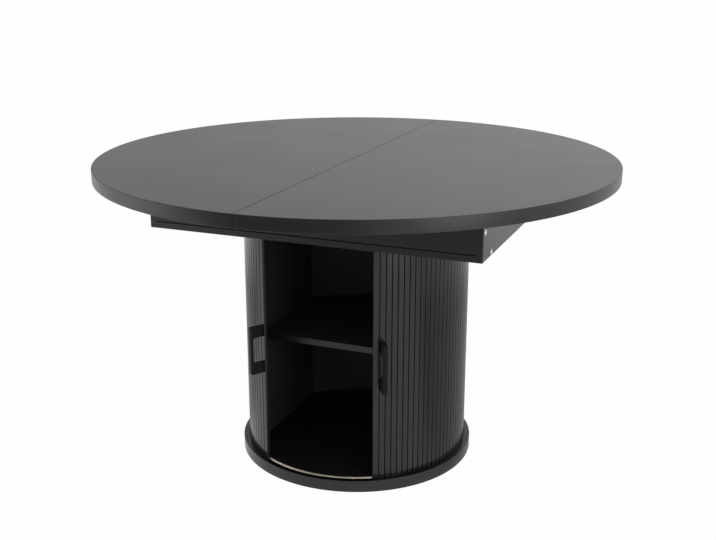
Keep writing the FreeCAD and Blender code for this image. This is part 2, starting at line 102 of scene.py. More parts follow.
class Graph:
    """Short ways to add nodes to a tree and join them."""

    def __init__(self, tree: bpy.types.NodeTree) -> None:
        self.tree = tree

    def add(self, kind: str, sockets: Sockets | None = None, **settings: object) -> bpy.types.Node:
        """Adds a node.

        Args:
            kind: Blender's name for the node's type.
            sockets: what goes into its inputs, by name or number: a constant, a socket or a node.
            settings: the node's own properties.

        Returns:
            The new node.
        """
        node = self.tree.nodes.new(kind)
        for key, value in settings.items():
            setattr(node, key, value)
        for key, value in (sockets or {}).items():
            self.fill(node.inputs[key], value)
        return node

    def fill(self, socket: bpy.types.NodeSocket, value: object) -> None:
        """Links a socket to a node or another socket, or sets its constant.

        Args:
            socket: the socket.
            value: what goes into it.
        """
        if isinstance(value, bpy.types.Node):
            value = value.outputs[0]
        if isinstance(value, bpy.types.NodeSocket):
            self.tree.links.new(value, socket)
        else:
            socket.default_value = value

    def math(self, operation: str, first: object, second: object = 0.0) -> bpy.types.NodeSocket:
        """The result of one sum on two numbers."""
        return self.add("ShaderNodeMath", {0: first, 1: second}, operation=operation).outputs[0]

    def along(self, operation: str, first: object, second: object) -> bpy.types.NodeSocket:
        """The vector that comes of one sum on two vectors."""
        return self.add("ShaderNodeVectorMath", {0: first, 1: second}, operation=operation).outputs[0]

    def measure(self, operation: str, *vectors: object) -> bpy.types.NodeSocket:
        """The number that comes of one sum on vectors."""
        node = self.add("ShaderNodeVectorMath", dict(enumerate(vectors)), operation=operation)
        return node.outputs["Value"]

    def part(self, axis: str, vector: object) -> bpy.types.NodeSocket:
        """One part of a vector: X, Y or Z."""
        return self.add("ShaderNodeSeparateXYZ", {0: vector}).outputs[axis]

    def blend(self, factor: object, first: object, second: object) -> bpy.types.NodeSocket:
        """A colour between two others."""
        node = self.add("ShaderNodeMix", {0: factor, 6: first, 7: second}, data_type="RGBA")
        return node.outputs[2]

    def ramp(self, value: object, result: Span, given: Span = (0.0, 1.0),
             curve: str = "LINEAR") -> bpy.types.NodeSocket:
        """Leads a value from one range over into another and holds it at both ends.

        Args:
            value: the value.
            result: the two ends that come out.
            given: the two ends that go in.
            curve: Blender's name for the way between them.

        Returns:
            The new value.
        """
        ends = {"From Min": given[0], "From Max": given[1], "To Min": result[0], "To Max": result[1]}
        return self.add("ShaderNodeMapRange", {"Value": value} | ends, interpolation_type=curve).outputs[0]

    def noise(self, place: object, scale: object, detail: float = 2.0) -> bpy.types.Node:
        """A soft random pattern from 0 to 1."""
        return self.add("ShaderNodeTexNoise", {"Vector": place, "Scale": scale, "Detail": detail})

    def sway(self, pattern: object, spread: object) -> bpy.types.NodeSocket:
        """A pattern that swings about 0 by a spread."""
        return self.math("MULTIPLY", self.math("SUBTRACT", pattern, 0.5), spread)


INPUT_KINDS = {
    float: "NodeSocketFloat",
    int: "NodeSocketInt",
    tuple: "NodeSocketVector",
    bpy.types.Material: "NodeSocketMaterial",
    bpy.types.Object: "NodeSocketObject",
    bpy.types.Mesh: "NodeSocketGeometry",
}
OUTPUT_KINDS = {"VALUE": "NodeSocketFloat", "VECTOR": "NodeSocketVector", "GEOMETRY": "NodeSocketGeometry"}


class GroupGraph(Graph):
    """A node group with named inputs and outputs."""

    def __init__(self, name: str, inputs: dict[str, object], kind: str = "ShaderNodeTree") -> None:
        """Makes an empty group.

        Args:
            name: the group's name.
            inputs: each input's name, and its default or else its type.
            kind: ShaderNodeTree or GeometryNodeTree.
        """
        super().__init__(bpy.data.node_groups.new(name, kind))
        for title, value in inputs.items():
            kind = value if isinstance(value, type) else type(value)
            item = self.tree.interface.new_socket(title, in_out="INPUT", socket_type=INPUT_KINDS[kind])
            if kind is not value:
                item.default_value = value
        self.given = self.tree.nodes.new("NodeGroupInput").outputs

    def give(self, **results: bpy.types.Node | bpy.types.NodeSocket) -> bpy.types.NodeTree:
        """Adds an output for each result, under the result's name.

        Args:
            results: what each output puts out.

        Returns:
            The finished tree.
        """
        end = self.tree.nodes.new("NodeGroupOutput")
        for title, value in results.items():
            socket = value.outputs[0] if isinstance(value, bpy.types.Node) else value
            kind = OUTPUT_KINDS[socket.type]
            self.tree.interface.new_socket(title, in_out="OUTPUT", socket_type=kind)
            self.fill(end.inputs[title], socket)
        return self.tree


# Effects that several finishes share

PLACE = {"Vector": (0.0, 0.0, 0.0)}


@functools.cache
def satin_effect() -> bpy.types.NodeTree:
    """The fine orange peel of sprayed lacquer, and the faint clouds that handling leaves on it.

    Returns:
        The node group, built once.
    """
    inputs = PLACE | {"Grain": 900.0, "Clouds": 5.0, "Roughness": 0.4, "Spread": 0.05}
    group = GroupGraph("satin", inputs)
    given = group.given
    grain = group.noise(given["Vector"], given["Grain"])
    clouds = group.noise(given["Vector"], given["Clouds"], 4.0)
    swing = group.math("ADD", group.sway(clouds, given["Spread"]), group.sway(grain, given["Spread"]))
    rough = group.math("ADD", given["Roughness"], swing)
    return group.give(Roughness=rough, Height=grain, Tone=clouds)


@functools.cache
def rounded_edge_effect() -> bpy.types.NodeTree:
    """The small round that every real edge has: the turned normal, and a mask along the edge.

    Returns:
        The node group, built once.
    """
    group = GroupGraph("rounded_edge", {"Radius": 0.0005, "Gain": 4.0})
    turned_normal = group.add("ShaderNodeBevel", {"Radius": group.given["Radius"]}, samples=4)
    flat = group.add("ShaderNodeNewGeometry").outputs["Normal"]
    likeness = group.measure("DOT_PRODUCT", turned_normal, flat)
    edge = group.math("MULTIPLY", group.math("SUBTRACT", 1.0, likeness), group.given["Gain"])
    return group.give(Normal=turned_normal, Edge=group.add("ShaderNodeClamp", {"Value": edge}))


@functools.cache
def dust_effect() -> bpy.types.NodeTree:
    """A thin uneven film of dust on the faces that look up.

    Returns:
        The node group, built once.
    """
    group = GroupGraph("dust", PLACE | {"Amount": 0.1, "Specks": 140.0, "Drifts": 3.0, "Detail": 5.0})
    given = group.given
    fine = group.noise(given["Vector"], given["Specks"], given["Detail"])
    broad = group.noise(given["Vector"], given["Drifts"])
    facing = group.part("Z", group.add("ShaderNodeNewGeometry").outputs["Normal"])
    film = group.math("MULTIPLY", group.math("MULTIPLY", fine, broad), group.math("MAXIMUM", facing, 0.0))
    return group.give(Mask=group.math("MULTIPLY", film, given["Amount"]))


@functools.cache
def wood_effect() -> bpy.types.NodeTree:
    """Straight grain along X: growth rings, and the short dark pores between them.

    Returns:
        The node group, built once.
    """
    inputs = PLACE | {"Stretch": (0.06, 1.0, 1.0), "Rings": 90.0, "Waviness": 5.0, "Pores": 1500.0}
    group = GroupGraph("wood", inputs)
    given = group.given
    drawn = group.along("MULTIPLY", given["Vector"], given["Stretch"])
    wave = {"Scale": given["Rings"], "Distortion": given["Waviness"], "Detail": 3.0, "Detail Scale": 0.6}
    rings = group.add("ShaderNodeTexWave", {"Vector": drawn} | wave, wave_type="BANDS",
                      bands_direction="DIAGONAL")
    pore_edge = (0.55, 0.75)
    pores = group.ramp(group.noise(drawn, given["Pores"], 3.0), (0.0, 1.0), pore_edge)
    tone = group.math("MULTIPLY", rings.outputs["Fac"], group.math("SUBTRACT", 1.0, pores))
    return group.give(Tone=tone, Height=tone)


@functools.cache
def brushed_effect() -> bpy.types.NodeTree:
    """Fine parallel scratches: Stretch squeezes the pattern along the way they run.

    Returns:
        The node group, built once.
    """
    inputs = PLACE | {"Stretch": (0.02, 1.0, 1.0), "Scratches": 2200.0, "Roughness": 0.3, "Spread": 0.2}
    group = GroupGraph("brushed", inputs)
    given = group.given
    lines = group.noise(group.along("MULTIPLY", given["Vector"], given["Stretch"]), given["Scratches"], 4.0)
    rough = group.math("ADD", given["Roughness"], group.sway(lines, given["Spread"]))
    return group.give(Roughness=rough, Height=lines)


@functools.cache
def weave_effect() -> bpy.types.NodeTree:
    """A plain weave: each thread rounded, and passing over its neighbours by turns.

    Returns:
        The node group, built once.
    """
    group = GroupGraph("weave", PLACE | {"Thread": 0.0008, "Slubs": 260.0})
    count = group.math("DIVIDE", 1.0, group.given["Thread"])
    scale = group.add("ShaderNodeCombineXYZ", {0: count, 1: count, 2: count})
    place = group.along("MULTIPLY", group.given["Vector"], scale)
    ridges = []
    for axis in ("X", "Y"):
        turn = group.math("MULTIPLY", group.part(axis, place), math.pi)
        ridges.append(group.math("ABSOLUTE", group.math("SINE", turn)))
    over = group.add("ShaderNodeTexChecker", {"Vector": place, "Scale": 1.0}).outputs["Fac"]
    height = group.add("ShaderNodeMix", {0: over, 2: ridges[0], 3: ridges[1]}).outputs[0]
    slubs = group.noise(group.given["Vector"], group.given["Slubs"])
    # Tone is darker where the weave lies low: painted shade on the threads' sides and gaps, varied by real
    # slubs.
    return group.give(Height=height, Tone=group.math("MULTIPLY", height, slubs))


class MaterialGraph(Graph):
    """A material's own tree."""

    def __init__(self, name: str) -> None:
        """Makes the material with an empty tree.

        Args:
            name: the material's name.
        """
        self.material = bpy.data.materials.new(name)
        self.material.use_nodes = True
        super().__init__(self.material.node_tree)
        self.tree.nodes.clear()
        self.place = self.add("ShaderNodeTexCoord").outputs["Object"]

    def effect(self, tree: bpy.types.NodeTree, sockets: Sockets) -> bpy.types.NodeOutputs:
        """Places a shared effect in this material, with its own values."""
        return self.add("ShaderNodeGroup", sockets, node_tree=tree).outputs

    def edge(self, radius: float) -> bpy.types.NodeOutputs:
        """Places the rounded edge in this material."""
        return self.effect(rounded_edge_effect(), {"Radius": radius})

    def relief(self, height: object, depth: float, normal: object | None = None) -> bpy.types.Node:
        """A bump of some depth, on top of an edge's turned normal where there is one.

        Args:
            height: the pattern that stands up.
            depth: how far it stands up.
            normal: the edge's turned normal.

        Returns:
            The bump.
        """
        sockets: Sockets = {"Height": height, "Distance": depth, "Strength": 1.0}
        if normal is not None:
            sockets["Normal"] = normal
        return self.add("ShaderNodeBump", sockets)

    def give(self, shader: bpy.types.Node) -> bpy.types.Material:
        """Makes a shader the material's surface.

        Returns:
            The finished material.
        """
        self.add("ShaderNodeOutputMaterial", {"Surface": shader})
        return self.material


# Finishes


def grey(level: float, warmth: float = 0.0) -> Colour:
    """A near-black or grey of one level, a little warmer or cooler."""
    return (level * (1 + warmth), level, level * (1 - warmth), 1.0)


def times(share: float, colour: Colour) -> Colour:
    """A colour that is darker or brighter by a share."""
    return (*(share * part for part in colour[:3]), 1.0)


DUST_COLOUR = grey(0.45, 0.05)
WHITE = grey(1.0)


@dataclass(frozen=True)
class Finish:
    """A finish, with its own name and that of the record's slot that it belongs to."""

    name: str
    slot: str

    def material(self) -> bpy.types.Material:
        """Builds the finish's material."""
        graph = MaterialGraph(self.name)
        return graph.give(graph.add("ShaderNodeBsdfPrincipled", self.skin(graph)))

    def skin(self, graph: MaterialGraph) -> Sockets:
        """What the shader's sockets get."""
        raise NotImplementedError


@dataclass(frozen=True)
class Lacquer(Finish):
    """Satin lacquer or coloured board: a smooth dark skin with a fine relief."""

    colour: Colour
    roughness: float
    specular: float = 0.5
    spread: float = 0.06
    grain: float = 900.0
    clouds: float = 5.0
    depth: float = 0.00001
    edge_radius: float = 0.0006
    dust: float = 0.02
    tone_attribute: str = ""
    cloud_share: float = 0.8
    # How much lighter the rounded edges are painted: a painted highlight where edges catch light, with a
    # little wear.
    worn_share: float = 2.2
    wear: float = 0.35

    def skin(self, graph: MaterialGraph) -> Sockets:
        """What the shader's sockets get for this lacquer.

        Args:
            graph: the material's tree.

        Returns:
            The sockets by name.
        """
        satin = graph.effect(satin_effect(), {
            "Vector": graph.place, "Grain": self.grain, "Clouds": self.clouds,
            "Roughness": self.roughness, "Spread": self.spread,
        })
        edge = graph.edge(self.edge_radius)
        dust = graph.effect(dust_effect(), {"Vector": graph.place, "Amount": self.dust})
        base = graph.blend(satin["Tone"], times(self.cloud_share, self.colour), self.colour)
        if self.tone_attribute:
            tone = graph.add("ShaderNodeAttribute", attribute_name=self.tone_attribute).outputs["Fac"]
            scaled = graph.add("ShaderNodeVectorMath", {0: base, "Scale": tone}, operation="SCALE")
            base = scaled.outputs[0]
        # Lighter along the rounded edges: a painted highlight where edges catch light, with a little wear.
        highlight_and_wear_colour = times(self.worn_share, self.colour)
        base = graph.blend(graph.math("MULTIPLY", edge["Edge"], self.wear), base, highlight_and_wear_colour)
        return {
            "Base Color": graph.blend(dust["Mask"], base, DUST_COLOUR),
            "Roughness": satin["Roughness"], "Specular IOR Level": self.specular,
            "Normal": graph.relief(satin["Height"], self.depth, edge["Normal"]),
        }


@dataclass(frozen=True)
class Metal(Finish):
    """Brushed, plated or anodised metal, scratched along one way."""

    colour: Colour
    roughness: float
    spread: float = 0.15
    stretch: tuple[float, float, float] = (1.0, 1.0, 1.0)
    depth: float = 0.000003
    edge_radius: float = 0.0003
    stain_scale: float = 40.0
    stain_share: float = 0.75

    def skin(self, graph: MaterialGraph) -> Sockets:
        """What the shader's sockets get for this metal.

        Args:
            graph: the material's tree.

        Returns:
            The sockets by name.
        """
        lines = graph.effect(brushed_effect(), {
            "Vector": graph.place, "Stretch": self.stretch, "Roughness": self.roughness,
            "Spread": self.spread,
        })
        edge = graph.edge(self.edge_radius)
        stains = graph.effect(satin_effect(), {"Vector": graph.place, "Clouds": self.stain_scale})
        dull = times(self.stain_share, self.colour)
        return {
            "Base Color": graph.blend(stains["Tone"], dull, self.colour), "Metallic": 1.0,
            "Roughness": lines["Roughness"],
            "Normal": graph.relief(lines["Height"], self.depth, edge["Normal"]),
        }


@dataclass(frozen=True)
class Wood(Finish):
    """Bare planed beech."""

    early: Colour
    late: Colour
    rings: float = 90.0
    roughness: Span = (0.75, 0.6)
    specular: float = 0.3
    depth: float = 0.00005
    edge_radius: float = 0.0008

    def skin(self, graph: MaterialGraph) -> Sockets:
        """What the shader's sockets get for this wood.

        Args:
            graph: the material's tree.

        Returns:
            The sockets by name.
        """
        grain = graph.effect(wood_effect(), {"Vector": graph.place, "Rings": self.rings})
        edge = graph.edge(self.edge_radius)
        return {
            "Base Color": graph.blend(grain["Tone"], self.late, self.early),
            "Roughness": graph.ramp(grain["Tone"], self.roughness), "Specular IOR Level": self.specular,
            "Normal": graph.relief(grain["Height"], self.depth, edge["Normal"]),
        }


@dataclass(frozen=True)
class Cloth(Finish):
    """Canvas in a plain weave, laid out by the piece's own UV map in metres."""

    colour: Colour
    thread: float = 0.0008
    # How dark the low places of the weave are painted: painted shade between threads.
    gap_share: float = 0.4
    roughness: float = 0.9
    specular: float = 0.2
    depth: float = 0.0002

    def skin(self, graph: MaterialGraph) -> Sockets:
        """What the shader's sockets get for this cloth.

        Args:
            graph: the material's tree.

        Returns:
            The sockets by name.
        """
        flat = graph.add("ShaderNodeTexCoord").outputs["UV"]
        weave = graph.effect(weave_effect(), {"Vector": flat, "Thread": self.thread})
        # Darker where the weave lies low: painted shade between threads, with the slubs' real tone.
        dark = times(self.gap_share, self.colour)
        return {
            "Base Color": graph.blend(weave["Tone"], dark, self.colour), "Roughness": self.roughness,
            "Specular IOR Level": self.specular, "Normal": graph.relief(weave["Height"], self.depth),
        }


BEECH_EARLY = (0.62, 0.44, 0.25, 1.0)
BEECH_LATE = (0.42, 0.26, 0.13, 1.0)
CHAMPAGNE = (0.88, 0.83, 0.75, 1.0)
BARE_ALUMINIUM = (0.78, 0.79, 0.80, 1.0)
BARE_ZINC = (0.72, 0.72, 0.70, 1.0)
ALONG_X = (0.02, 1.0, 1.0)


class Coat(Enum):
    """The finishes of the table's pieces."""

    TOP = Lacquer("satin_black_top", "lacquer_top", grey(0.006), 0.31, grain=700.0, dust=0.012)
    EDGING = Lacquer("black_edging", "lacquer_top", grey(0.005), 0.34, edge_radius=0.0003, dust=0.0)
    PANEL = Lacquer("satin_black_panel", "lacquer_panel", grey(0.006), 0.36, dust=0.008)
    PLINTH = Lacquer("black_plinth", "lacquer_panel", grey(0.006), 0.27, dust=0.0)
    LEDGE = Lacquer("polished_ledge", "lacquer_panel", grey(0.003), 0.07, 0.28, spread=0.02, depth=0.000002,
                    dust=0.0)
    SLAT = Lacquer("black_tambour", "lacquer_slats", grey(0.009), 0.17, 0.45, dust=0.0,
                   tone_attribute="tone")
    INSIDE = Lacquer("matt_black_inside", "inside_panel", grey(0.03), 0.5, 0.3, dust=0.01)
    WOOD = Wood("bare_beech", "raw_wood", BEECH_EARLY, BEECH_LATE)
    CLOTH = Cloth("black_canvas", "backing_cloth", grey(0.03))
    TRACK = Metal("champagne_track", "champagne_metal", CHAMPAGNE, 0.42)
    ALUMINIUM = Metal("mill_aluminium", "aluminium_rail", BARE_ALUMINIUM, 0.34, stretch=ALONG_X)
    ZINC = Metal("zinc_plate", "steel", BARE_ZINC, 0.32, spread=0.1)
    NICKEL = Metal("bright_nickel", "steel", grey(0.86), 0.12, spread=0.05)
    POWDER = Lacquer("black_powder_coat", "black_metal", grey(0.002), 0.32, 0.16, grain=2600.0,
                     depth=0.00002, dust=0.0)
    NYLON = Lacquer("black_nylon", "nylon", grey(0.02), 0.5, grain=1500.0, dust=0.0)


# Meshes


def make_piece(name: str, work: bmesh.types.BMesh) -> bpy.types.Object:
    """Turns a worked mesh into an object at the origin, its doubles merged and its faces outwards.

    Args:
        name: the object's name.
        work: the worked mesh, which is freed.

    Returns:
        The object.
    """
    bmesh.ops.remove_doubles(work, verts=work.verts, dist=SAME_POINT)
    bmesh.ops.recalc_face_normals(work, faces=work.faces)
    mesh = bpy.data.meshes.new(name)
    work.to_mesh(mesh)
    work.free()
    piece = bpy.data.objects.new(name, mesh)
    bpy.context.scene.collection.objects.link(piece)
    return piece


def settle(piece: bpy.types.Object) -> bpy.types.Object:
    """Makes a piece's modifiers part of its mesh and takes them off.

    Args:
        piece: the piece.

    Returns:
        The same piece.
    """
    graph = bpy.context.evaluated_depsgraph_get()
    mesh = bpy.data.meshes.new_from_object(piece.evaluated_get(graph))
    piece.modifiers.clear()
    piece.data = mesh
    mesh.name = piece.name
    return piece


def even_normals(piece: bpy.types.Object) -> bpy.types.Object:
    """Settles a piece with normals that keep its flat faces flat."""
    piece.modifiers.new("even", "WEIGHTED_NORMAL").weight = 100
    return settle(piece)


def ease_edges(piece: bpy.types.Object, width: float, segments: int = 3,
               angle: float = 40.0) -> bpy.types.Object:
    """Rounds every sharp edge of a piece.

    Args:
        piece: the piece.
        width: how far the round reaches on each face.
        segments: the facets of the round.
        angle: the least turn of a sharp edge.

    Returns:
        The piece.
    """
    bevel = piece.modifiers.new("eased", "BEVEL")
    bevel.width, bevel.segments = width, segments
    bevel.limit_method, bevel.angle_limit = "ANGLE", math.radians(angle)
    bevel.use_clamp_overlap = True
    piece.data.shade_smooth()
    return even_normals(piece)


def crisp(piece: bpy.types.Object, angle: float = 35.0) -> bpy.types.Object:
    """Shades a piece smooth apart from the edges that turn by more than an angle.

    Args:
        piece: the piece.
        angle: the least turn of an edge that stays sharp.

    Returns:
        The same piece.
    """
    piece.data.shade_smooth()
    piece.data.set_sharp_from_angle(angle=math.radians(angle))
    return piece


def arc_points(centre: Span, radius: float, start: float, end: float, steps: int) -> Profile:
    """Points on an arc in a plane, with both its ends."""
    angles = [math.radians(start + (end - start) * step / steps) for step in range(steps + 1)]
    return [(centre[0] + radius * math.cos(a), centre[1] + radius * math.sin(a)) for a in angles]


def rounded_side(outer: float, low: float, high: float, soft: float, steps: int) -> Profile:
    """The outer side of a section from its foot to its top, with both its corners round."""
    foot = arc_points((outer - soft, low + soft), soft, -90, 0, steps)
    return foot + arc_points((outer - soft, high - soft), soft, 0, 90, steps)


def at_azimuth(azimuth: float, distance: float, height: float = 0.0) -> Vector:
    """The place at an azimuth, a distance from the drum's axis and a height."""
    angle = math.radians(azimuth)
    return Vector((distance * math.sin(angle), -distance * math.cos(angle), height))


def loop_about_z(work: bmesh.types.BMesh, radii: Sequence[float], height: float) -> Loop:
    """A loop of points at equal turns about Z, each as far out as its radius."""
    turns = [2 * math.pi * index / len(radii) for index in range(len(radii))]
    return [work.verts.new((r * math.cos(a), r * math.sin(a), height)) for r, a in zip(radii, turns)]


def bridge(work: bmesh.types.BMesh, loops: Sequence[Loop]) -> None:
    """Joins each loop of points to the next with faces all round.

    Args:
        work: the mesh that holds the points.
        loops: the loops, with as many points each.
    """
    for one, two in zip(loops, loops[1:]):
        for index in range(len(one)):
            after = (index + 1) % len(one)
            work.faces.new((one[index], two[index], two[after], one[after]))


def lathe(profile: Profile, steps: int = ROUND_STEPS, start: float = 0.0,
          sweep: float = 360.0) -> bmesh.types.BMesh:
    """Turns a closed outline of (radius, height) about the drum's axis.

    Args:
        profile: the outline's points in order.
        steps: how many facets the whole sweep has.
        start: the azimuth where it starts.
        sweep: how far it goes; 360 closes it.

    Returns:
        The worked mesh, with its ends capped where it isn't closed.
    """
    work = bmesh.new()
    whole = math.isclose(sweep, 360.0)
    azimuths = [start + sweep * step / steps for step in range(steps if whole else steps + 1)]
    rings = [[work.verts.new(at_azimuth(azimuth, r, z)) for r, z in profile] for azimuth in azimuths]
    bridge(work, rings + rings[:1] if whole else rings)
    if not whole:
        work.faces.new(rings[0])
        work.faces.new(rings[-1])
    return work


def prism(outline: Sequence[Vector], rise: Vector) -> bmesh.types.BMesh:
    """A closed outline drawn out along a vector.

    Args:
        outline: its corners in order.
        rise: how far and which way it is drawn.

    Returns:
        The worked mesh.
    """
    work = bmesh.new()
    near = [work.verts.new(point) for point in outline]
    far = [work.verts.new(point + rise) for point in outline]
    work.faces.new(near[::-1])
    work.faces.new(far)
    for step in range(len(outline)):
        work.faces.new((near[step - 1], near[step], far[step], far[step - 1]))
    return work


def add_rod(work: bmesh.types.BMesh, radius: float, length: float, middle: Vector, axis: str,
            segments: int) -> None:
    """Adds a round rod.

    Args:
        work: the mesh that it is added to.
        radius: its radius.
        length: its length.
        middle: where its middle is.
        axis: the axis, X or Y, that it lies along.
        segments: its facets.
    """
    about = {"X": "Y", "Y": "X"}[axis]
    spot = Matrix.Translation(middle) @ Matrix.Rotation(math.radians(90), 4, about)
    bmesh.ops.create_cone(work, cap_ends=True, segments=segments, radius1=radius, radius2=radius,
                          depth=length, matrix=spot)


# What the CAD nodes say


def solids_of(node: str) -> list[list[Vector]]:
    """The corner points of each separate solid of a CAD node, always in the same order.

    Args:
        node: the CAD node's name.

    Returns:
        One list of points for each solid.
    """
    work = bmesh.new()
    work.from_mesh(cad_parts[node].data)
    bmesh.ops.remove_doubles(work, verts=work.verts, dist=SAME_CORNER)
    work.verts.ensure_lookup_table()
    left, groups = dict.fromkeys(work.verts), []
    while left:
        waiting = [left.popitem()[0]]
        group = list(waiting)
        while waiting:
            vertex = waiting.pop()
            for edge in vertex.link_edges:
                other = edge.other_vert(vertex)
                if other in left:
                    del left[other]
                    group.append(other)
                    waiting.append(other)
        groups.append([vertex.co.copy() for vertex in group])
    work.free()
    return groups


def middle_of(points: Sequence[Vector]) -> Vector:
    """The mean of some points."""
    return sum(points, Vector()) / len(points)


def inner_radius(node: str) -> float:
    """How near a ring of the CAD comes to the drum's axis."""
    return min(vertex.co.xy.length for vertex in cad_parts[node].data.vertices)


# Geometry rules for what repeats


def grow(name: str, seed: bmesh.types.BMesh, rule: bpy.types.NodeTree,
         sizes: dict[str, object]) -> bpy.types.Object:
    """Runs a geometry rule and keeps what it makes as a plain piece.

    Args:
        name: the piece's name.
        seed: the mesh that the rule starts from.
        rule: the geometry tree.
        sizes: the rule's inputs by name.

    Returns:
        The piece, with no modifier left.
    """
    piece = make_piece(name, seed)
    modifier = piece.modifiers.new("rule", "NODES")
    modifier.node_group = rule
    for item in rule.interface.items_tree:
        if item.item_type == "SOCKET" and item.in_out == "INPUT" and item.name in sizes:
            modifier[item.identifier] = sizes[item.name]
    return even_normals(piece)


class RuleGraph(GroupGraph):
    """A geometry tree that takes and gives a mesh."""

    def __init__(self, name: str, sizes: dict[str, object]) -> None:
        """Makes the tree with a mesh, its sizes and its finish as inputs."""
        inputs = {"Geometry": bpy.types.Mesh} | sizes | {"Finish": bpy.types.Material}
        super().__init__(name, inputs, "GeometryNodeTree")

    def finish(self, instances: bpy.types.Node) -> bpy.types.NodeTree:
        """Realises the copies, shades them smooth and gives them their finish.

        Args:
            instances: the copies.

        Returns:
            The finished tree.
        """
        real = self.add("GeometryNodeRealizeInstances", {0: instances})
        smooth = self.add("GeometryNodeSetShadeSmooth", {"Geometry": real})
        dressed = {"Geometry": smooth, "Material": self.given["Finish"]}
        return self.give(Geometry=self.add("GeometryNodeSetMaterial", dressed))


@functools.cache
def slat_rule() -> bpy.types.NodeTree:
    """Upright strips round the drum, each a bar with rounded edges and a tone of its own.

    Returns:
        The geometry tree, built once.
    """
    rule = RuleGraph("slats", {
        "Count": 10, "First azimuth": 0.0, "Pitch": 3.0, "Outer radius": 0.28, "Thickness": 0.006,
        "Width": 0.013, "Bottom": 0.0, "Top": 0.6, "Edge radius": 0.001, "Edge steps": 3,
        "Darkest tone": 0.86, "Brightest tone": 1.14, "Seed": 7,
    })
    given = rule.given
    section = rule.add("GeometryNodeCurvePrimitiveQuadrilateral",
                       {"Width": given["Thickness"], "Height": given["Width"]})
    eased = rule.add("GeometryNodeFilletCurve", {
        "Curve": section, "Radius": given["Edge radius"], "Limit Radius": True, "Count": given["Edge steps"],
    }, mode="POLY")
    low = rule.add("ShaderNodeCombineXYZ", {"Z": given["Bottom"]})
    high = rule.add("ShaderNodeCombineXYZ", {"Z": given["Top"]})
    line = rule.add("GeometryNodeCurvePrimitiveLine", {"Start": low, "End": high})
    bar = rule.add("GeometryNodeCurveToMesh", {"Curve": line, "Profile Curve": eased, "Fill Caps": True})
    middle = rule.math("SUBTRACT", given["Outer radius"], rule.math("DIVIDE", given["Thickness"], 2.0))
    outwards = rule.add("ShaderNodeCombineXYZ", {"X": middle})
    placed = rule.add("GeometryNodeTransform", {"Geometry": bar, "Translation": outwards})
    points = rule.add("GeometryNodePoints", {"Count": given["Count"]})
    index = rule.add("GeometryNodeInputIndex")
    azimuth = rule.math("ADD", given["First azimuth"], rule.math("MULTIPLY", index, given["Pitch"]))
    turn = rule.math("RADIANS", rule.math("SUBTRACT", azimuth, 90.0))
    rotation = rule.add("ShaderNodeCombineXYZ", {"Z": turn})
    copies = rule.add("GeometryNodeInstanceOnPoints",
                      {"Points": points, "Instance": placed, "Rotation": rotation})
    tone = rule.add("FunctionNodeRandomValue", {
        2: given["Darkest tone"], 3: given["Brightest tone"], "ID": index, "Seed": given["Seed"],
    })
    named = rule.add("GeometryNodeStoreNamedAttribute",
                     {"Geometry": copies, "Name": "tone", "Value": tone.outputs[1]}, domain="INSTANCE")
    return rule.finish(named)


@functools.cache
def fastener_rule() -> bpy.types.NodeTree:
    """Copies of a pattern piece on points, each facing outwards and turned by chance about its axis.

    Returns:
        The geometry tree, built once.
    """
    rule = RuleGraph("fasteners", {"Pattern": bpy.types.Object, "Seed": 3})
    given = rule.given
    outward = rule.add("GeometryNodeInputNamedAttribute", {"Name": "outward"}, data_type="FLOAT_VECTOR")
    facing = rule.add("FunctionNodeAlignRotationToVector", {"Vector": outward}, axis="Z")
    spin = rule.add("FunctionNodeRandomValue", {2: 0.0, 3: 2 * math.pi, "Seed": given["Seed"]}).outputs[1]
    about = rule.add("FunctionNodeAxisAngleToRotation", {"Axis": (0.0, 0.0, 1.0), "Angle": spin})
    rotation = rule.add("FunctionNodeRotateRotation", {"Rotation": facing, "Rotate By": about},
                        rotation_space="LOCAL")
    shape = rule.add("GeometryNodeObjectInfo", {"Object": given["Pattern"]}, transform_space="ORIGINAL")
    copies = rule.add("GeometryNodeInstanceOnPoints", {
        "Points": given["Geometry"], "Instance": shape.outputs["Geometry"], "Rotation": rotation,
    })
    return rule.finish(copies)


def points_facing(places: Iterable[Place]) -> bmesh.types.BMesh:
    """Loose points, each with the direction that its copy faces.

    Args:
        places: each point and its direction.

    Returns:
        The worked mesh.
    """
    work = bmesh.new()
    layer = work.verts.layers.float_vector.new("outward")
    for place, outward in places:
        work.verts.new(place)[layer] = outward.normalized()
    return work


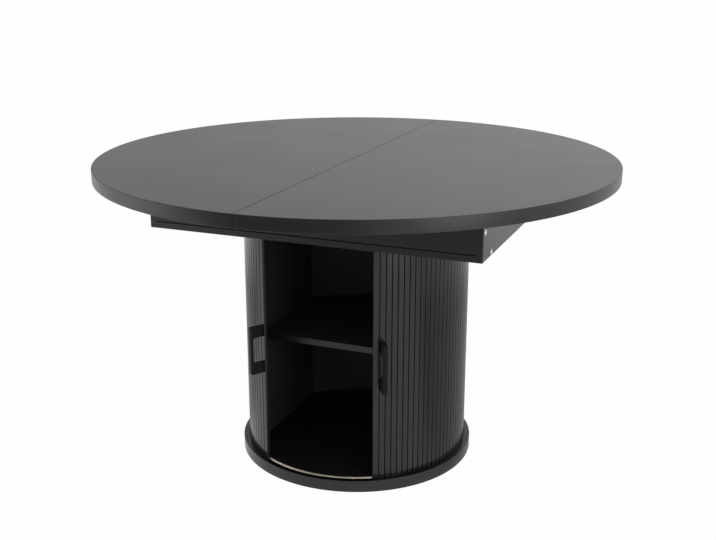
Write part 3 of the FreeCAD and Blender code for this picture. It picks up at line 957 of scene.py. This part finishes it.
@dataclass(frozen=True)
class Screw:
    """A screw along Z whose head's top is at the origin, with a recess in the head and a ridged shank."""

    head_radius: float
    head_height: float
    shank_radius: float
    length: float
    recess: Recess
    recess_radius: float
    recess_depth: float
    dome: float = 0.0
    sunk: bool = False
    pitch: float = 1.8 * MM
    sides: int = 24
    rim_share: float = 0.12
    rim_steps: int = 4
    tip_share: float = 0.6
    root_share: float = 0.8
    arm_share: float = 0.22
    land_share: float = 1.25

    def recess_reach(self, angle: float) -> float:
        """How far the recess reaches from the axis, at an angle about it.

        Args:
            angle: the angle, in radians.

        Returns:
            The reach.
        """
        span = 2 * math.pi / self.recess.value
        off = abs((angle + span / 2) % span - span / 2)
        if self.recess is Recess.HEXAGON:
            return self.recess_radius / math.cos(off)
        arm = self.recess_radius * self.arm_share
        return min(self.recess_radius / math.cos(off), arm / max(math.sin(off), NEAR))

    def shank(self) -> Profile:
        """The radii and heights from the tip to the head.

        Returns:
            The rings in order.
        """
        rings = [(0.0, -self.length), (self.shank_radius * self.tip_share, -self.length + self.pitch)]
        root = self.shank_radius * self.root_share
        height = -self.length + 2 * self.pitch
        while height < -self.head_height - self.pitch:
            rings += [(self.shank_radius, height), (root, height + self.pitch / 2)]
            height += self.pitch
        return rings + [(self.shank_radius, -self.head_height)]

    def head(self) -> Profile:
        """The radii and heights from the head's seat to the rim of the recess.

        Returns:
            The rings in order.
        """
        rings = [(self.shank_radius if self.sunk else self.head_radius, -self.head_height)]
        rim = self.head_radius * self.rim_share
        reach = self.head_radius - rim
        rings += arc_points((reach, -self.dome - rim), rim, 0, 90, self.rim_steps)
        inner = self.land_share * self.recess_radius
        for step in range(1, self.rim_steps + 1):
            radius = reach + (inner - reach) * step / self.rim_steps
            rings.append((radius, -self.dome * ((radius - inner) / (reach - inner)) ** 2))
        return rings

    def pattern(self) -> bpy.types.Object:
        """The screw as an object to copy.

        Returns:
            The pattern, which isn't kept in the scene.
        """
        work = bmesh.new()
        loops = [loop_about_z(work, [radius] * self.sides, z) for radius, z in self.shank() + self.head()]
        recess = [self.recess_reach(2 * math.pi * side / self.sides) for side in range(self.sides)]
        loops += [loop_about_z(work, recess, z) for z in (0.0, -self.recess_depth)]
        bridge(work, loops)
        work.faces.new(loops[-1])
        return make_piece("screw_pattern", work)


WOOD_SCREW = Screw(3.5 * MM, 1.8 * MM, 2 * MM, 20 * MM, Recess.CROSS, 2.1 * MM, 1.2 * MM, sunk=True)
CARCASS_SCREW = Screw(5 * MM, 4 * MM, 3 * MM, 50 * MM, Recess.CROSS, 3 * MM, 2.4 * MM, sunk=True)
HANDLE_SCREW = Screw(4 * MM, 2.4 * MM, 2 * MM, 20 * MM, Recess.CROSS, 2.3 * MM, 1.4 * MM, dome=0.8 * MM)
END_BOLT = Screw(7 * MM, 1.6 * MM, 3 * MM, 48 * MM, Recess.HEXAGON, 2 * MM, 1.1 * MM, dome=0.8 * MM)


@dataclass(frozen=True)
class Dowel:
    """A fluted wooden pin along Z, about the origin."""

    radius: float
    reach: float
    flutes: int = 14
    facets_per_flute: int = 4
    flute_depth: float = 0.08
    tip_share: float = 0.8
    ease_share: float = 0.3

    def pattern(self) -> bpy.types.Object:
        """The dowel as an object to copy.

        Returns:
            The pattern, which isn't kept in the scene.
        """
        work = bmesh.new()
        grooves = [1 - self.flute_depth, *[1.0] * (self.facets_per_flute - 1)] * self.flutes
        full = self.reach - self.radius * self.ease_share
        loops = []
        for share, height in ((self.tip_share, -self.reach), (1.0, -full), (1.0, full),
                              (self.tip_share, self.reach)):
            radii = [self.radius * share * groove for groove in grooves]
            loops.append(loop_about_z(work, radii, height))
        bridge(work, loops)
        work.faces.new(loops[0])
        work.faces.new(loops[-1])
        return make_piece("dowel_pattern", work)


# Sub-assemblies


@dataclass
class SubAssembly:
    """Pieces that are built and dressed together."""

    paint: dict[Coat, bpy.types.Material]
    body: str = field(default="cabinet", init=False)

    def dress(self, coat: Coat, *nodes: str) -> None:
        """Gives CAD nodes whose shape stays a finish.

        Args:
            coat: the finish.
            nodes: the nodes' names.
        """
        for node in nodes:
            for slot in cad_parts[node].material_slots:
                slot.material = self.paint[coat]
            LOG.info("dressed %s in %s", node, coat.name.lower())

    def keep(self, piece: bpy.types.Object, coat: Coat, *nodes: str) -> None:
        """Puts a finished piece on this sub-assembly's body.

        Args:
            piece: the piece, in place.
            coat: its finish.
            nodes: the CAD nodes that it stands for.
        """
        if not piece.data.materials:
            piece.data.materials.append(self.paint[coat])
        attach(piece, self.body)
        if nodes:
            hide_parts(*nodes)
        LOG.info("built %s on %s, %d faces", piece.name, self.body, len(piece.data.polygons))

    def coat_faces(self, piece: bpy.types.Object, coats: Sequence[Coat],
                   pick: Callable[[bpy.types.MeshPolygon], int]) -> bpy.types.Object:
        """Gives a piece several finishes, and each face the one that a rule picks by its number.

        Args:
            piece: the piece.
            coats: its finishes, in the order of their numbers.
            pick: the rule, which gives the number of a face's finish.

        Returns:
            The same piece.
        """
        for coat in coats:
            piece.data.materials.append(self.paint[coat])
        for face in piece.data.polygons:
            face.material_index = pick(face)
        return piece

    def copies(self, name: str, pattern: bpy.types.Object, places: Iterable[Place], coat: Coat,
               seed: int) -> bpy.types.Object:
        """Copies a pattern to places and removes it.

        Args:
            name: the name of the piece that holds the copies.
            pattern: the object to copy.
            places: where each copy stands and which way it faces.
            coat: their finish.
            seed: what the chance of their turns starts from.

        Returns:
            The piece.
        """
        sizes = {"Pattern": pattern, "Seed": seed, "Finish": self.paint[coat]}
        piece = grow(name, points_facing(places), fastener_rule(), sizes)
        bpy.data.objects.remove(pattern)
        return piece

    def fasten(self, node: str, coat: Coat, screw: Screw, outward: Callable[[Vector], Vector]) -> None:
        """Puts detailed screws in the place of a CAD node's plain ones.

        Args:
            node: the CAD node, one solid per screw.
            coat: their finish.
            screw: the screw that is copied.
            outward: the way a head faces, from its screw's middle.
        """
        places = []
        for points in solids_of(node):
            middle = middle_of(points)
            facing = outward(middle).normalized()
            reach = max((point - middle).dot(facing) for point in points)
            places.append((middle + facing * reach, facing))
        piece = self.copies(node + "_set", screw.pattern(), places, coat, len(node))
        self.keep(piece, coat, node)


@dataclass
class HalfTop(SubAssembly):
    """One sliding half of the round top, with its edging and the runners that carry it."""

    side: Side
    edging_thickness: float = 1.5 * MM
    rim_radius: float = 1.2 * MM
    rim_steps: int = 5
    seam_chamfer: float = 0.8 * MM
    seam_easing: float = 0.2 * MM
    joint: float = 0.12 * MM
    steps: int = 200
    dowel_hole_radius: float = 4.15 * MM
    dowel_hole_facets: int = 32
    dowel_seed: int = 5

    def __post_init__(self) -> None:
        """Reads the half top's reach from its CAD node."""
        self.body = "top_" + self.side.label
        low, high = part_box(self.body + "_half")
        self.radius, self.low, self.high = high.y, low.z, high.z
        self.seam = min(abs(low.x), abs(high.x)) + self.seam_easing

    def seam_angle(self, radius: float) -> float:
        """How far from the Y axis a rim of some radius meets the seam."""
        return math.degrees(math.asin(self.seam / radius))

    def board(self) -> bpy.types.Object:
        """The board inside the edging, its seam edge chamfered above.

        Returns:
            The board.
        """
        radius = self.radius - self.edging_thickness - self.joint / 2
        start = self.seam_angle(radius)
        rim = arc_points((0.0, 0.0), radius, 90 - start, start - 90, self.steps)
        outline = [Vector((self.side.value * x, y, self.low)) for x, y in rim]
        work = prism(outline, Vector((0, 0, self.high - self.low)))
        weights = work.edges.layers.float.new("bevel_weight_edge")
        for edge in work.edges:
            one, two = (vertex.co for vertex in edge.verts)
            on_seam = max(abs(one.x), abs(two.x)) < self.seam + NEAR
            if min(one.z, two.z) > self.low + NEAR:
                edge[weights] = 1.0 if on_seam else self.joint / self.seam_chamfer
        piece = make_piece(self.body + "_board", work)
        bevel = piece.modifiers.new("seam", "BEVEL")
        bevel.width, bevel.segments, bevel.limit_method = self.seam_chamfer, 2, "WEIGHT"
        if self.side is Side.LEFT:
            self.bore(piece)
        piece.data.shade_smooth()
        return even_normals(piece)

    def bore(self, piece: bpy.types.Object) -> None:
        """Bores the holes that the other half's dowels slide into.

        Args:
            piece: the board.
        """
        holes = bmesh.new()
        for points in solids_of("seam_dowels"):
            middle = middle_of(points)
            length = 2 * max(abs(point.x) for point in points)
            centre = Vector((0, middle.y, middle.z))
            add_rod(holes, self.dowel_hole_radius, length, centre, "X", self.dowel_hole_facets)
        cutter = make_piece("dowel_holes", holes)
        cut = piece.modifiers.new("holes", "BOOLEAN")
        cut.operation, cut.solver, cut.object = "DIFFERENCE", "EXACT", cutter
        settle(piece)
        bpy.data.objects.remove(cutter)

    def edging(self) -> bpy.types.Object:
        """The strip glued round the rim, rounded at its outer edges.

        Returns:
            The strip.
        """
        inner = self.radius - self.edging_thickness
        section = [(inner, self.low + self.joint), (inner + self.joint, self.low)]
        section += rounded_side(self.radius, self.low, self.high, self.rim_radius, self.rim_steps)
        section += [(inner + self.joint, self.high), (inner, self.high - self.joint)]
        start = self.seam_angle(inner)
        first = start if self.side is Side.RIGHT else 180 + start
        work = lathe(section, self.steps, first, 180 - 2 * start)
        return crisp(make_piece(self.body + "_edging", work))

    def dowels(self) -> bpy.types.Object:
        """The fluted wooden pins that line up the seam.

        Returns:
            The pins as one piece.
        """
        groups = solids_of("seam_dowels")
        middle = middle_of(groups[0])
        radius = max(abs(point.z - middle.z) for point in groups[0])
        dowel = Dowel(radius, max(abs(point.x) for point in groups[0]))
        places = [(middle_of(group), Vector((1, 0, 0))) for group in groups]
        return self.copies("seam_dowel_set", dowel.pattern(), places, Coat.WOOD, self.dowel_seed)

    def build(self) -> None:
        """Builds and dresses the half top."""
        self.keep(self.board(), Coat.TOP, self.body + "_half")
        self.keep(self.edging(), Coat.EDGING)
        self.dress(Coat.NYLON, self.body + "_front_runner", self.body + "_back_runner")
        self.fasten(self.body + "_runner_screws", Coat.ZINC, WOOD_SCREW, lambda _: DOWN)
        if self.side is Side.RIGHT:
            self.keep(self.dowels(), Coat.WOOD, "seam_dowels")


@dataclass
class ApronBox(SubAssembly):
    """The long box under the top: its boards, bolts and guide rails."""

    def build(self) -> None:
        """Builds and dresses the box."""
        self.dress(Coat.PANEL, "front_rail", "back_rail", "left_end_board", "right_end_board",
                   "box_bottom_panel")
        blocks = [f"{end}_{side.label}_corner_block" for end in ("front", "back") for side in Side]
        self.dress(Coat.WOOD, *blocks)
        self.dress(Coat.ALUMINIUM, "front_guide_rail", "back_guide_rail")
        self.fasten("end_board_screws", Coat.NICKEL, END_BOLT, lambda at: Vector((at.x, 0, 0)))
        self.fasten("guide_rail_screws", Coat.ZINC, WOOD_SCREW, lambda at: Vector((0, -at.y, 0)))


@dataclass
class StoredLeaf(SubAssembly):
    """The folded extension leaf in the box, on its bearers, with its hinges and swivel."""

    knuckle_radius: float = 3 * MM
    knuckle_facets: int = 24
    knuckles: int = 5
    knuckle_gap: float = 0.3 * MM
    plate_thickness: float = 2 * MM
    plate_easing: float = 0.3 * MM

    def add_hinge(self, work: bmesh.types.BMesh, low: Vector, high: Vector) -> None:
        """Adds one hinge between two corners: two plates, and knuckles that take turns along the pin.

        Args:
            work: the mesh that it is added to.
            low: its lowest corner.
            high: its highest corner.
        """
        middle = (low.z + high.z) / 2
        face = high.x - self.knuckle_radius
        pitch = (high.y - low.y) / self.knuckles
        for start, end in ((low.z, middle - self.knuckle_gap), (middle + self.knuckle_gap, high.z)):
            plate = bmesh.ops.create_cube(work, size=1.0)["verts"]
            size = Vector((self.plate_thickness, high.y - low.y, end - start))
            centre = Vector((face - self.plate_thickness / 2, (low.y + high.y) / 2, (start + end) / 2))
            for vertex in plate:
                vertex.co = vertex.co * size + centre
        for index in range(self.knuckles):
            centre = Vector((face, low.y + pitch * (index + 0.5), middle))
            length = pitch - self.knuckle_gap
            add_rod(work, self.knuckle_radius, length, centre, "Y", self.knuckle_facets)

    def build(self) -> None:
        """Builds and dresses the leaf."""
        self.dress(Coat.TOP, "leaf_lower_half", "leaf_upper_half")
        self.dress(Coat.WOOD, "front_leaf_bearer", "back_leaf_bearer")
        self.dress(Coat.ZINC, "leaf_swivel_plate", "leaf_swivel_pin")
        work = bmesh.new()
        for points in solids_of("leaf_hinges"):
            low = Vector(min(point[axis] for point in points) for axis in range(3))
            high = Vector(max(point[axis] for point in points) for axis in range(3))
            self.add_hinge(work, low, high)
        piece = ease_edges(make_piece("leaf_hinge_set", work), self.plate_easing, 2)
        self.keep(piece, Coat.ZINC, "leaf_hinges")


@dataclass
class DrumCarcass(SubAssembly):
    """The plinth, tracks, side panels, back and shelf inside the doors."""

    track_wall: float = 1 * MM
    groove_ease: float = 0.3 * MM
    base_edge_radius: float = 1 * MM
    base_edge_steps: int = 5
    shelf_edging: float = 0.8 * MM
    shelf_easing: float = 0.35 * MM

    def channel(self, node: str, opening: Vector) -> bpy.types.Object:
        """A ring of L section, its wall inside the doors and its floor black outside them.

        Args:
            node: the CAD node that it stands for.
            opening: the way that the channel opens.

        Returns:
            The channel.
        """
        low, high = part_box(node)
        inner, outer, wall = inner_radius(node), high.x, self.track_wall
        floor, mouth = (low.z, high.z) if opening.z > 0 else (high.z, low.z)
        inside = floor + wall * opening.z
        section = [(inner, floor), (outer, floor), (outer, inside), (DRUM_RADIUS, inside),
                   (inner + wall, inside), (inner + wall, mouth), (inner, mouth)]
        ring = crisp(make_piece(node + "_ring", lathe(section)))
        return self.coat_faces(ring, (Coat.TRACK, Coat.EDGING),
                               lambda face: int(face.center.xy.length > DRUM_RADIUS - NEAR))

    def plinth(self) -> bpy.types.Object:
        """The round board at the floor, with its groove for the lower track eased outside.

        Returns:
            The board.
        """
        low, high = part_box("base_board")
        track_low, track_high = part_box("lower_track")
        track_inner = inner_radius("lower_track")
        soft, ease = self.base_edge_radius, self.groove_ease
        section = [(0.0, low.z), (high.x - soft / 2, low.z), (high.x, low.z + soft / 2)]
        section += arc_points((high.x - soft, high.z - soft), soft, 0, 90, self.base_edge_steps)
        section += [(track_high.x + ease, high.z), (track_high.x, high.z - ease),
                    (track_high.x, track_low.z), (track_inner, track_low.z), (track_inner, high.z),
                    (0.0, high.z)]
        board = crisp(make_piece("plinth_board", lathe(section)))

        def coat_at(face: bpy.types.MeshPolygon) -> int:
            """The plinth's own finish, and the ledge's or the panel's on what looks up."""
            level = 1 if face.center.xy.length > DRUM_RADIUS else 2
            return level if face.normal.z > FACING_UP else 0

        return self.coat_faces(board, (Coat.PLINTH, Coat.LEDGE, Coat.PANEL), coat_at)

    def shelf_strip(self) -> bpy.types.Object:
        """The edging on the shelf's straight front.

        Returns:
            The edging.
        """
        low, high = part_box("shelf")
        front = low.y - self.shelf_edging
        corners = ((low.x, low.y), (low.x, front), (high.x, front), (high.x, low.y))
        work = prism([Vector((x, y, low.z)) for x, y in corners], Vector((0, 0, high.z - low.z)))
        return ease_edges(make_piece("shelf_edging", work), self.shelf_easing)

    def build(self) -> None:
        """Builds and dresses the carcass."""
        self.keep(self.plinth(), Coat.PLINTH, "base_board")
        for node, opening in (("lower_track", UP), ("upper_track", DOWN)):
            self.keep(self.channel(node, opening), Coat.TRACK, node)
        self.keep(self.shelf_strip(), Coat.PANEL)
        self.dress(Coat.INSIDE, "left_side_panel", "right_side_panel", "back_shell", "shelf")
        self.dress(Coat.NYLON, "floor_glides")
        self.dress(Coat.ZINC, "shelf_pins")
        for node, way in (("carcass_screws", UP), ("base_screws", DOWN)):
            self.fasten(node, Coat.ZINC, CARCASS_SCREW, lambda _, way=way: way)


@dataclass
class TambourDoor(SubAssembly):
    """A curved door of upright strips on a cloth, with its bow handle."""

    side: Side
    slat_thickness: float = 6 * MM
    slat_pitch: float = 3.0
    slat_groove: float = 1.7 * MM
    slat_radius: float = 0.9 * MM
    slat_seed: int = 11
    turned_ahead: float = 0.6
    opening_azimuth: float = 30.0
    rear_azimuth: float = 180.0
    backing_thickness: float = 1.2 * MM
    backing_steps: int = 100
    handle_width: float = 10.5 * MM
    handle_projection: float = 35.5 * MM
    handle_easing: float = 0.8 * MM
    handle_edge_turn: float = 50.0
    grip_thickness: float = 7.5 * MM
    arm_height: float = 27.5 * MM
    outer_corner: float = 3 * MM
    inner_corner: float = 5 * MM
    corner_steps: int = 6

    def __post_init__(self) -> None:
        """Reads the door's height from its CAD node."""
        self.body = self.side.label + "_door"
        low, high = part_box(self.body + "_slats")
        self.low, self.high = low.z, high.z
        self.groove_angle = math.degrees(self.slat_groove / DRUM_RADIUS)

    def strips(self, name: str, first: int, count: int, lead: float = 0.0) -> bpy.types.Object:
        """Upright strips in a row.

        Args:
            name: the piece's name.
            first: the place of the first strip, counted from the door's leading edge.
            count: how many strips there are.
            lead: the angle by which the strip reaches on to the leading edge itself.

        Returns:
            The strips as one piece.
        """
        sign = self.side.value
        azimuth = sign * (self.opening_azimuth + self.slat_pitch * (first + 0.5) - lead / 2)
        width = math.radians(self.slat_pitch - self.groove_angle + lead) * DRUM_RADIUS
        return grow(name, bmesh.new(), slat_rule(), {
            "Count": count, "First azimuth": azimuth, "Pitch": sign * self.slat_pitch,
            "Outer radius": DRUM_RADIUS, "Thickness": self.slat_thickness, "Width": width,
            "Bottom": self.low, "Top": self.high, "Edge radius": self.slat_radius,
            "Seed": self.slat_seed + sign + first, "Finish": self.paint[Coat.SLAT],
        })

    def leading_strip(self) -> bpy.types.Object:
        """The strip at the opening, black on the face that closes against the other door.

        Returns:
            The strip.
        """
        strip = self.strips(self.body + "_leading_strip", 0, 1, self.groove_angle / 2)
        ahead = at_azimuth(self.side.value * (self.opening_azimuth - 90), 1.0)
        black = len(strip.data.materials)
        return self.coat_faces(strip, (Coat.EDGING,),
                               lambda face: black if face.normal.dot(ahead) > self.turned_ahead else 0)

    def backing(self) -> bpy.types.Object:
        """The canvas behind the strips, its UV map in metres for the weave.

        Returns:
            The canvas.
        """
        node = self.body + "_backing"
        low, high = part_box(node)
        behind = DRUM_RADIUS - self.slat_thickness
        inner, outer = behind - self.backing_thickness, behind * math.cos(math.radians(self.slat_pitch / 2))
        section = [(inner, low.z), (outer, low.z), (outer, high.z), (inner, high.z)]
        sweep = self.rear_azimuth - self.opening_azimuth - self.groove_angle / 2
        start = self.opening_azimuth if self.side is Side.RIGHT else -self.opening_azimuth - sweep
        work = lathe(section, self.backing_steps, start, sweep)
        layer = work.loops.layers.uv.new("flat")
        for face in work.faces:
            for loop in face.loops:
                place = loop.vert.co
                around = math.atan2(place.x * self.side.value, -place.y) * DRUM_RADIUS
                loop[layer].uv = (around, place.z)
        return crisp(make_piece(node + "_canvas", work))

    def handle(self) -> bpy.types.Object:
        """The bow handle: two flat arms and a thinner grip, cut from one bar.

        Returns:
            The handle.
        """
        low, high = (corner.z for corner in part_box(self.body + "_handle"))
        inner, outer, steps = DRUM_RADIUS, DRUM_RADIUS + self.handle_projection, self.corner_steps
        gap_low, gap_high = low + self.arm_height, high - self.arm_height
        section = [(inner, low), *rounded_side(outer, low, high, self.outer_corner, steps), (inner, high)]
        grip = rounded_side(outer - self.grip_thickness, gap_low, gap_high, self.inner_corner, steps)
        section += [(inner, gap_high), *reversed(grip), (inner, gap_low)]
        outline = [Vector((r, -self.handle_width / 2, z)) for r, z in section]
        work = prism(outline, Vector((0, self.handle_width, 0)))
        turn = Matrix.Rotation(math.radians(HANDLE_AZIMUTH[self.side] - 90), 4, "Z")
        bmesh.ops.transform(work, verts=work.verts, matrix=turn)
        bar = make_piece(self.body + "_bow_handle", work)
        return ease_edges(bar, self.handle_easing, angle=self.handle_edge_turn)

    def build(self) -> None:
        """Builds and dresses the door."""
        count = round((self.rear_azimuth - self.opening_azimuth) / self.slat_pitch)
        slats = self.strips(self.body + "_strips", 1, count - 1)
        self.keep(slats, Coat.SLAT, self.body + "_slats")
        self.keep(self.leading_strip(), Coat.SLAT, self.body + "_stile")
        self.keep(self.backing(), Coat.CLOTH, self.body + "_backing")
        self.keep(self.handle(), Coat.POWDER, self.body + "_handle")
        self.dress(Coat.NYLON, self.body + "_glides")
        self.fasten(self.body + "_handle_screws", Coat.ZINC, HANDLE_SCREW,
                    lambda at: Vector((-at.x, -at.y, 0)))


# Floor, light and camera


@dataclass(frozen=True)
class Softbox:
    """A lamp behind a tall cloth, which faces the table's middle and isn't seen itself."""

    name: str
    azimuth: float
    distance: float
    middle: float
    width: float
    height: float
    power: float
    aim_height: float = 0.4

    def hang(self) -> None:
        """Puts the lamp in its place."""
        data = bpy.data.lights.new(self.name, "AREA")
        data.shape, data.size, data.size_y, data.energy = "RECTANGLE", self.width, self.height, self.power
        lamp = bpy.data.objects.new(self.name, data)
        lamp.location = at_azimuth(self.azimuth, self.distance, self.middle)
        aim = Vector((0, 0, self.aim_height)) - lamp.location
        lamp.rotation_euler = aim.to_track_quat("-Z", "Y").to_euler()
        lamp.visible_camera = False
        bpy.context.scene.collection.objects.link(lamp)


@dataclass(frozen=True)
class Card:
    """A dark card on the floor, square to the drum's axis, that only the gloss sees: a painted darker
    reflection on the table's front.
    """

    name: str
    azimuth: float
    distance: float
    width: float
    height: float
    colour: Colour

    def stand(self) -> None:
        """Puts the card in its place."""
        middle = at_azimuth(self.azimuth, self.distance)
        along = at_azimuth(self.azimuth + 90, self.width / 2)
        rise = Vector((0, 0, self.height))
        corners = (middle - along, middle + along, middle + along + rise, middle - along + rise)
        work = bmesh.new()
        work.faces.new([work.verts.new(corner) for corner in corners])
        card = make_piece(self.name, work)
        graph = MaterialGraph(self.name)
        card.data.materials.append(graph.give(graph.add("ShaderNodeBsdfDiffuse", {"Color": self.colour})))
        # Seen only in reflections, as a painted darker reflection.
        card.visible_camera = card.visible_diffuse = card.visible_shadow = card.visible_transmission = False


@dataclass
class Studio:
    """A plain pale floor, soft light and the camera."""

    camera_azimuth: float = 22.25
    camera_distance: float = 2.5700
    camera_height: float = 1.2466
    camera_pitch: float = 16.847
    lens: float = 53.29
    sensor_width: float = 36.0
    shift: Span = (0.00163, -0.0002)
    floor_radius: float = 60.0
    floor_facets: int = 96
    floor_colour: Colour = grey(0.8)
    shown_share: float = 0.97
    # Painted light and shade on the floor that only reflections show: brighter towards -X, dim round the
    # drum.
    mirrored_share: Span = (0.92, 0.68)
    mirrored_reach: Span = (-1.2, 1.2)
    shade_near: Span = (0.22, 0.36)
    shade_far: Span = (2.3, 1.4)
    shade_back: Span = (-0.2, 0.0)
    shade_way: tuple[float, float, float] = (0.05, 1.0, 0.0)
    shade_least: float = 0.5
    sky_light: Span = (0.64, 1.24)
    sky_reach: Span = (-0.55, 0.55)
    # A painted darker reflection on the table's front, from a card that only the gloss sees.
    card: Card = Card("front_card", -1.5, 1.6, 1.7, 0.9, grey(0.35))
    softboxes: tuple[Softbox, ...] = (
        Softbox("left_softbox", -62.0, 2.3, 0.95, 1.3, 1.9, 5.0),
        Softbox("right_softbox", 58.0, 2.3, 0.95, 1.0, 1.9, 8.5),
    )

    def build(self) -> None:
        """Builds the studio."""
        self.camera()
        self.world()
        self.floor()
        self.card.stand()
        for softbox in self.softboxes:
            softbox.hang()

    def camera(self) -> None:
        """The camera, turned to the drum's axis and tipped down."""
        data = bpy.data.cameras.new("camera")
        data.lens, data.sensor_width, data.sensor_fit = self.lens, self.sensor_width, "HORIZONTAL"
        data.shift_x, data.shift_y = self.shift
        view = bpy.data.objects.new("camera", data)
        view.location = at_azimuth(self.camera_azimuth, self.camera_distance, self.camera_height)
        view.rotation_euler = (math.radians(90 - self.camera_pitch), 0, math.radians(self.camera_azimuth))
        bpy.context.scene.collection.objects.link(view)
        bpy.context.scene.camera = view

    def world(self) -> None:
        """White to look at, and a plain soft light from all round that is a little weaker towards -X."""
        world = bpy.data.worlds.new("soft_daylight")
        world.use_nodes = True
        graph = Graph(world.node_tree)
        graph.tree.nodes.clear()
        way = graph.part("X", graph.add("ShaderNodeTexCoord").outputs["Object"])
        light = graph.ramp(way, self.sky_light, self.sky_reach)
        white = graph.add("ShaderNodeLightPath").outputs["Is Camera Ray"]
        strength = graph.math("MAXIMUM", white, light)
        sky = graph.add("ShaderNodeBackground", {"Color": WHITE, "Strength": strength})
        graph.add("ShaderNodeOutputWorld", {"Surface": sky})
        bpy.context.scene.world = world

    def shade(self, graph: MaterialGraph) -> bpy.types.NodeSocket:
        """How bright the gloss sees the floor: painted shade, dimmer in a ring round the drum, but not
        before its front.

        Args:
            graph: the floor's material.

        Returns:
            The share of the floor's light that is left.
        """
        reach = graph.measure("LENGTH", graph.place)
        depth = graph.measure("DOT_PRODUCT", graph.place, self.shade_way)
        shade = 1.0
        for value, edge in ((reach, self.shade_near), (reach, self.shade_far), (depth, self.shade_back)):
            shade = graph.math("MULTIPLY", shade, graph.ramp(value, (0.0, 1.0), edge, "SMOOTHSTEP"))
        return graph.ramp(shade, (1.0, self.shade_least))

    def floor(self) -> None:
        """A pale floor with a soft shadow; the gloss sees it with painted light, brighter towards -X, and
        painted shade, dim round the drum.
        """
        work = bmesh.new()
        bmesh.ops.create_circle(work, cap_ends=True, segments=self.floor_facets, radius=self.floor_radius)
        floor = make_piece("studio_floor", work)
        graph = MaterialGraph("pale_floor")
        path = graph.add("ShaderNodeLightPath").outputs
        bounced = graph.math("MAXIMUM", path["Is Glossy Ray"], path["Is Transmission Ray"])
        # Painted shade on the floor that only reflections show, dim round the drum.
        shade = graph.blend(bounced, WHITE, self.shade(graph))
        colour = graph.along("MULTIPLY", shade, self.floor_colour[:3])
        paint = graph.add("ShaderNodeBsdfDiffuse", {"Color": colour})
        white = graph.add("ShaderNodeEmission", {"Color": shade, "Strength": 1.0})
        # Painted light on the floor that only reflections show: it glows brighter towards -X.
        painted_glow_share = graph.ramp(graph.part("X", graph.place), self.mirrored_share, self.mirrored_reach)
        shown = graph.math("MULTIPLY", path["Is Camera Ray"], self.shown_share)
        share = graph.math("MAXIMUM", shown, graph.math("MULTIPLY", bounced, painted_glow_share))
        mixed = graph.add("ShaderNodeMixShader", {0: share, 1: paint, 2: white})
        floor.data.materials.append(graph.give(mixed))


def main() -> None:
    """Builds the whole scene."""
    logging.basicConfig(level=logging.INFO, format="%(message)s")
    bpy.context.scene.view_settings.view_transform = "Standard"
    paint = {coat: coat.value.material() for coat in Coat}
    parts = [ApronBox(paint), StoredLeaf(paint), DrumCarcass(paint)]
    parts += [HalfTop(paint, side) for side in Side]
    parts += [TambourDoor(paint, side) for side in Side]
    for part in parts:
        part.build()
    Studio().build()


if __name__ == "__main__":
    main()
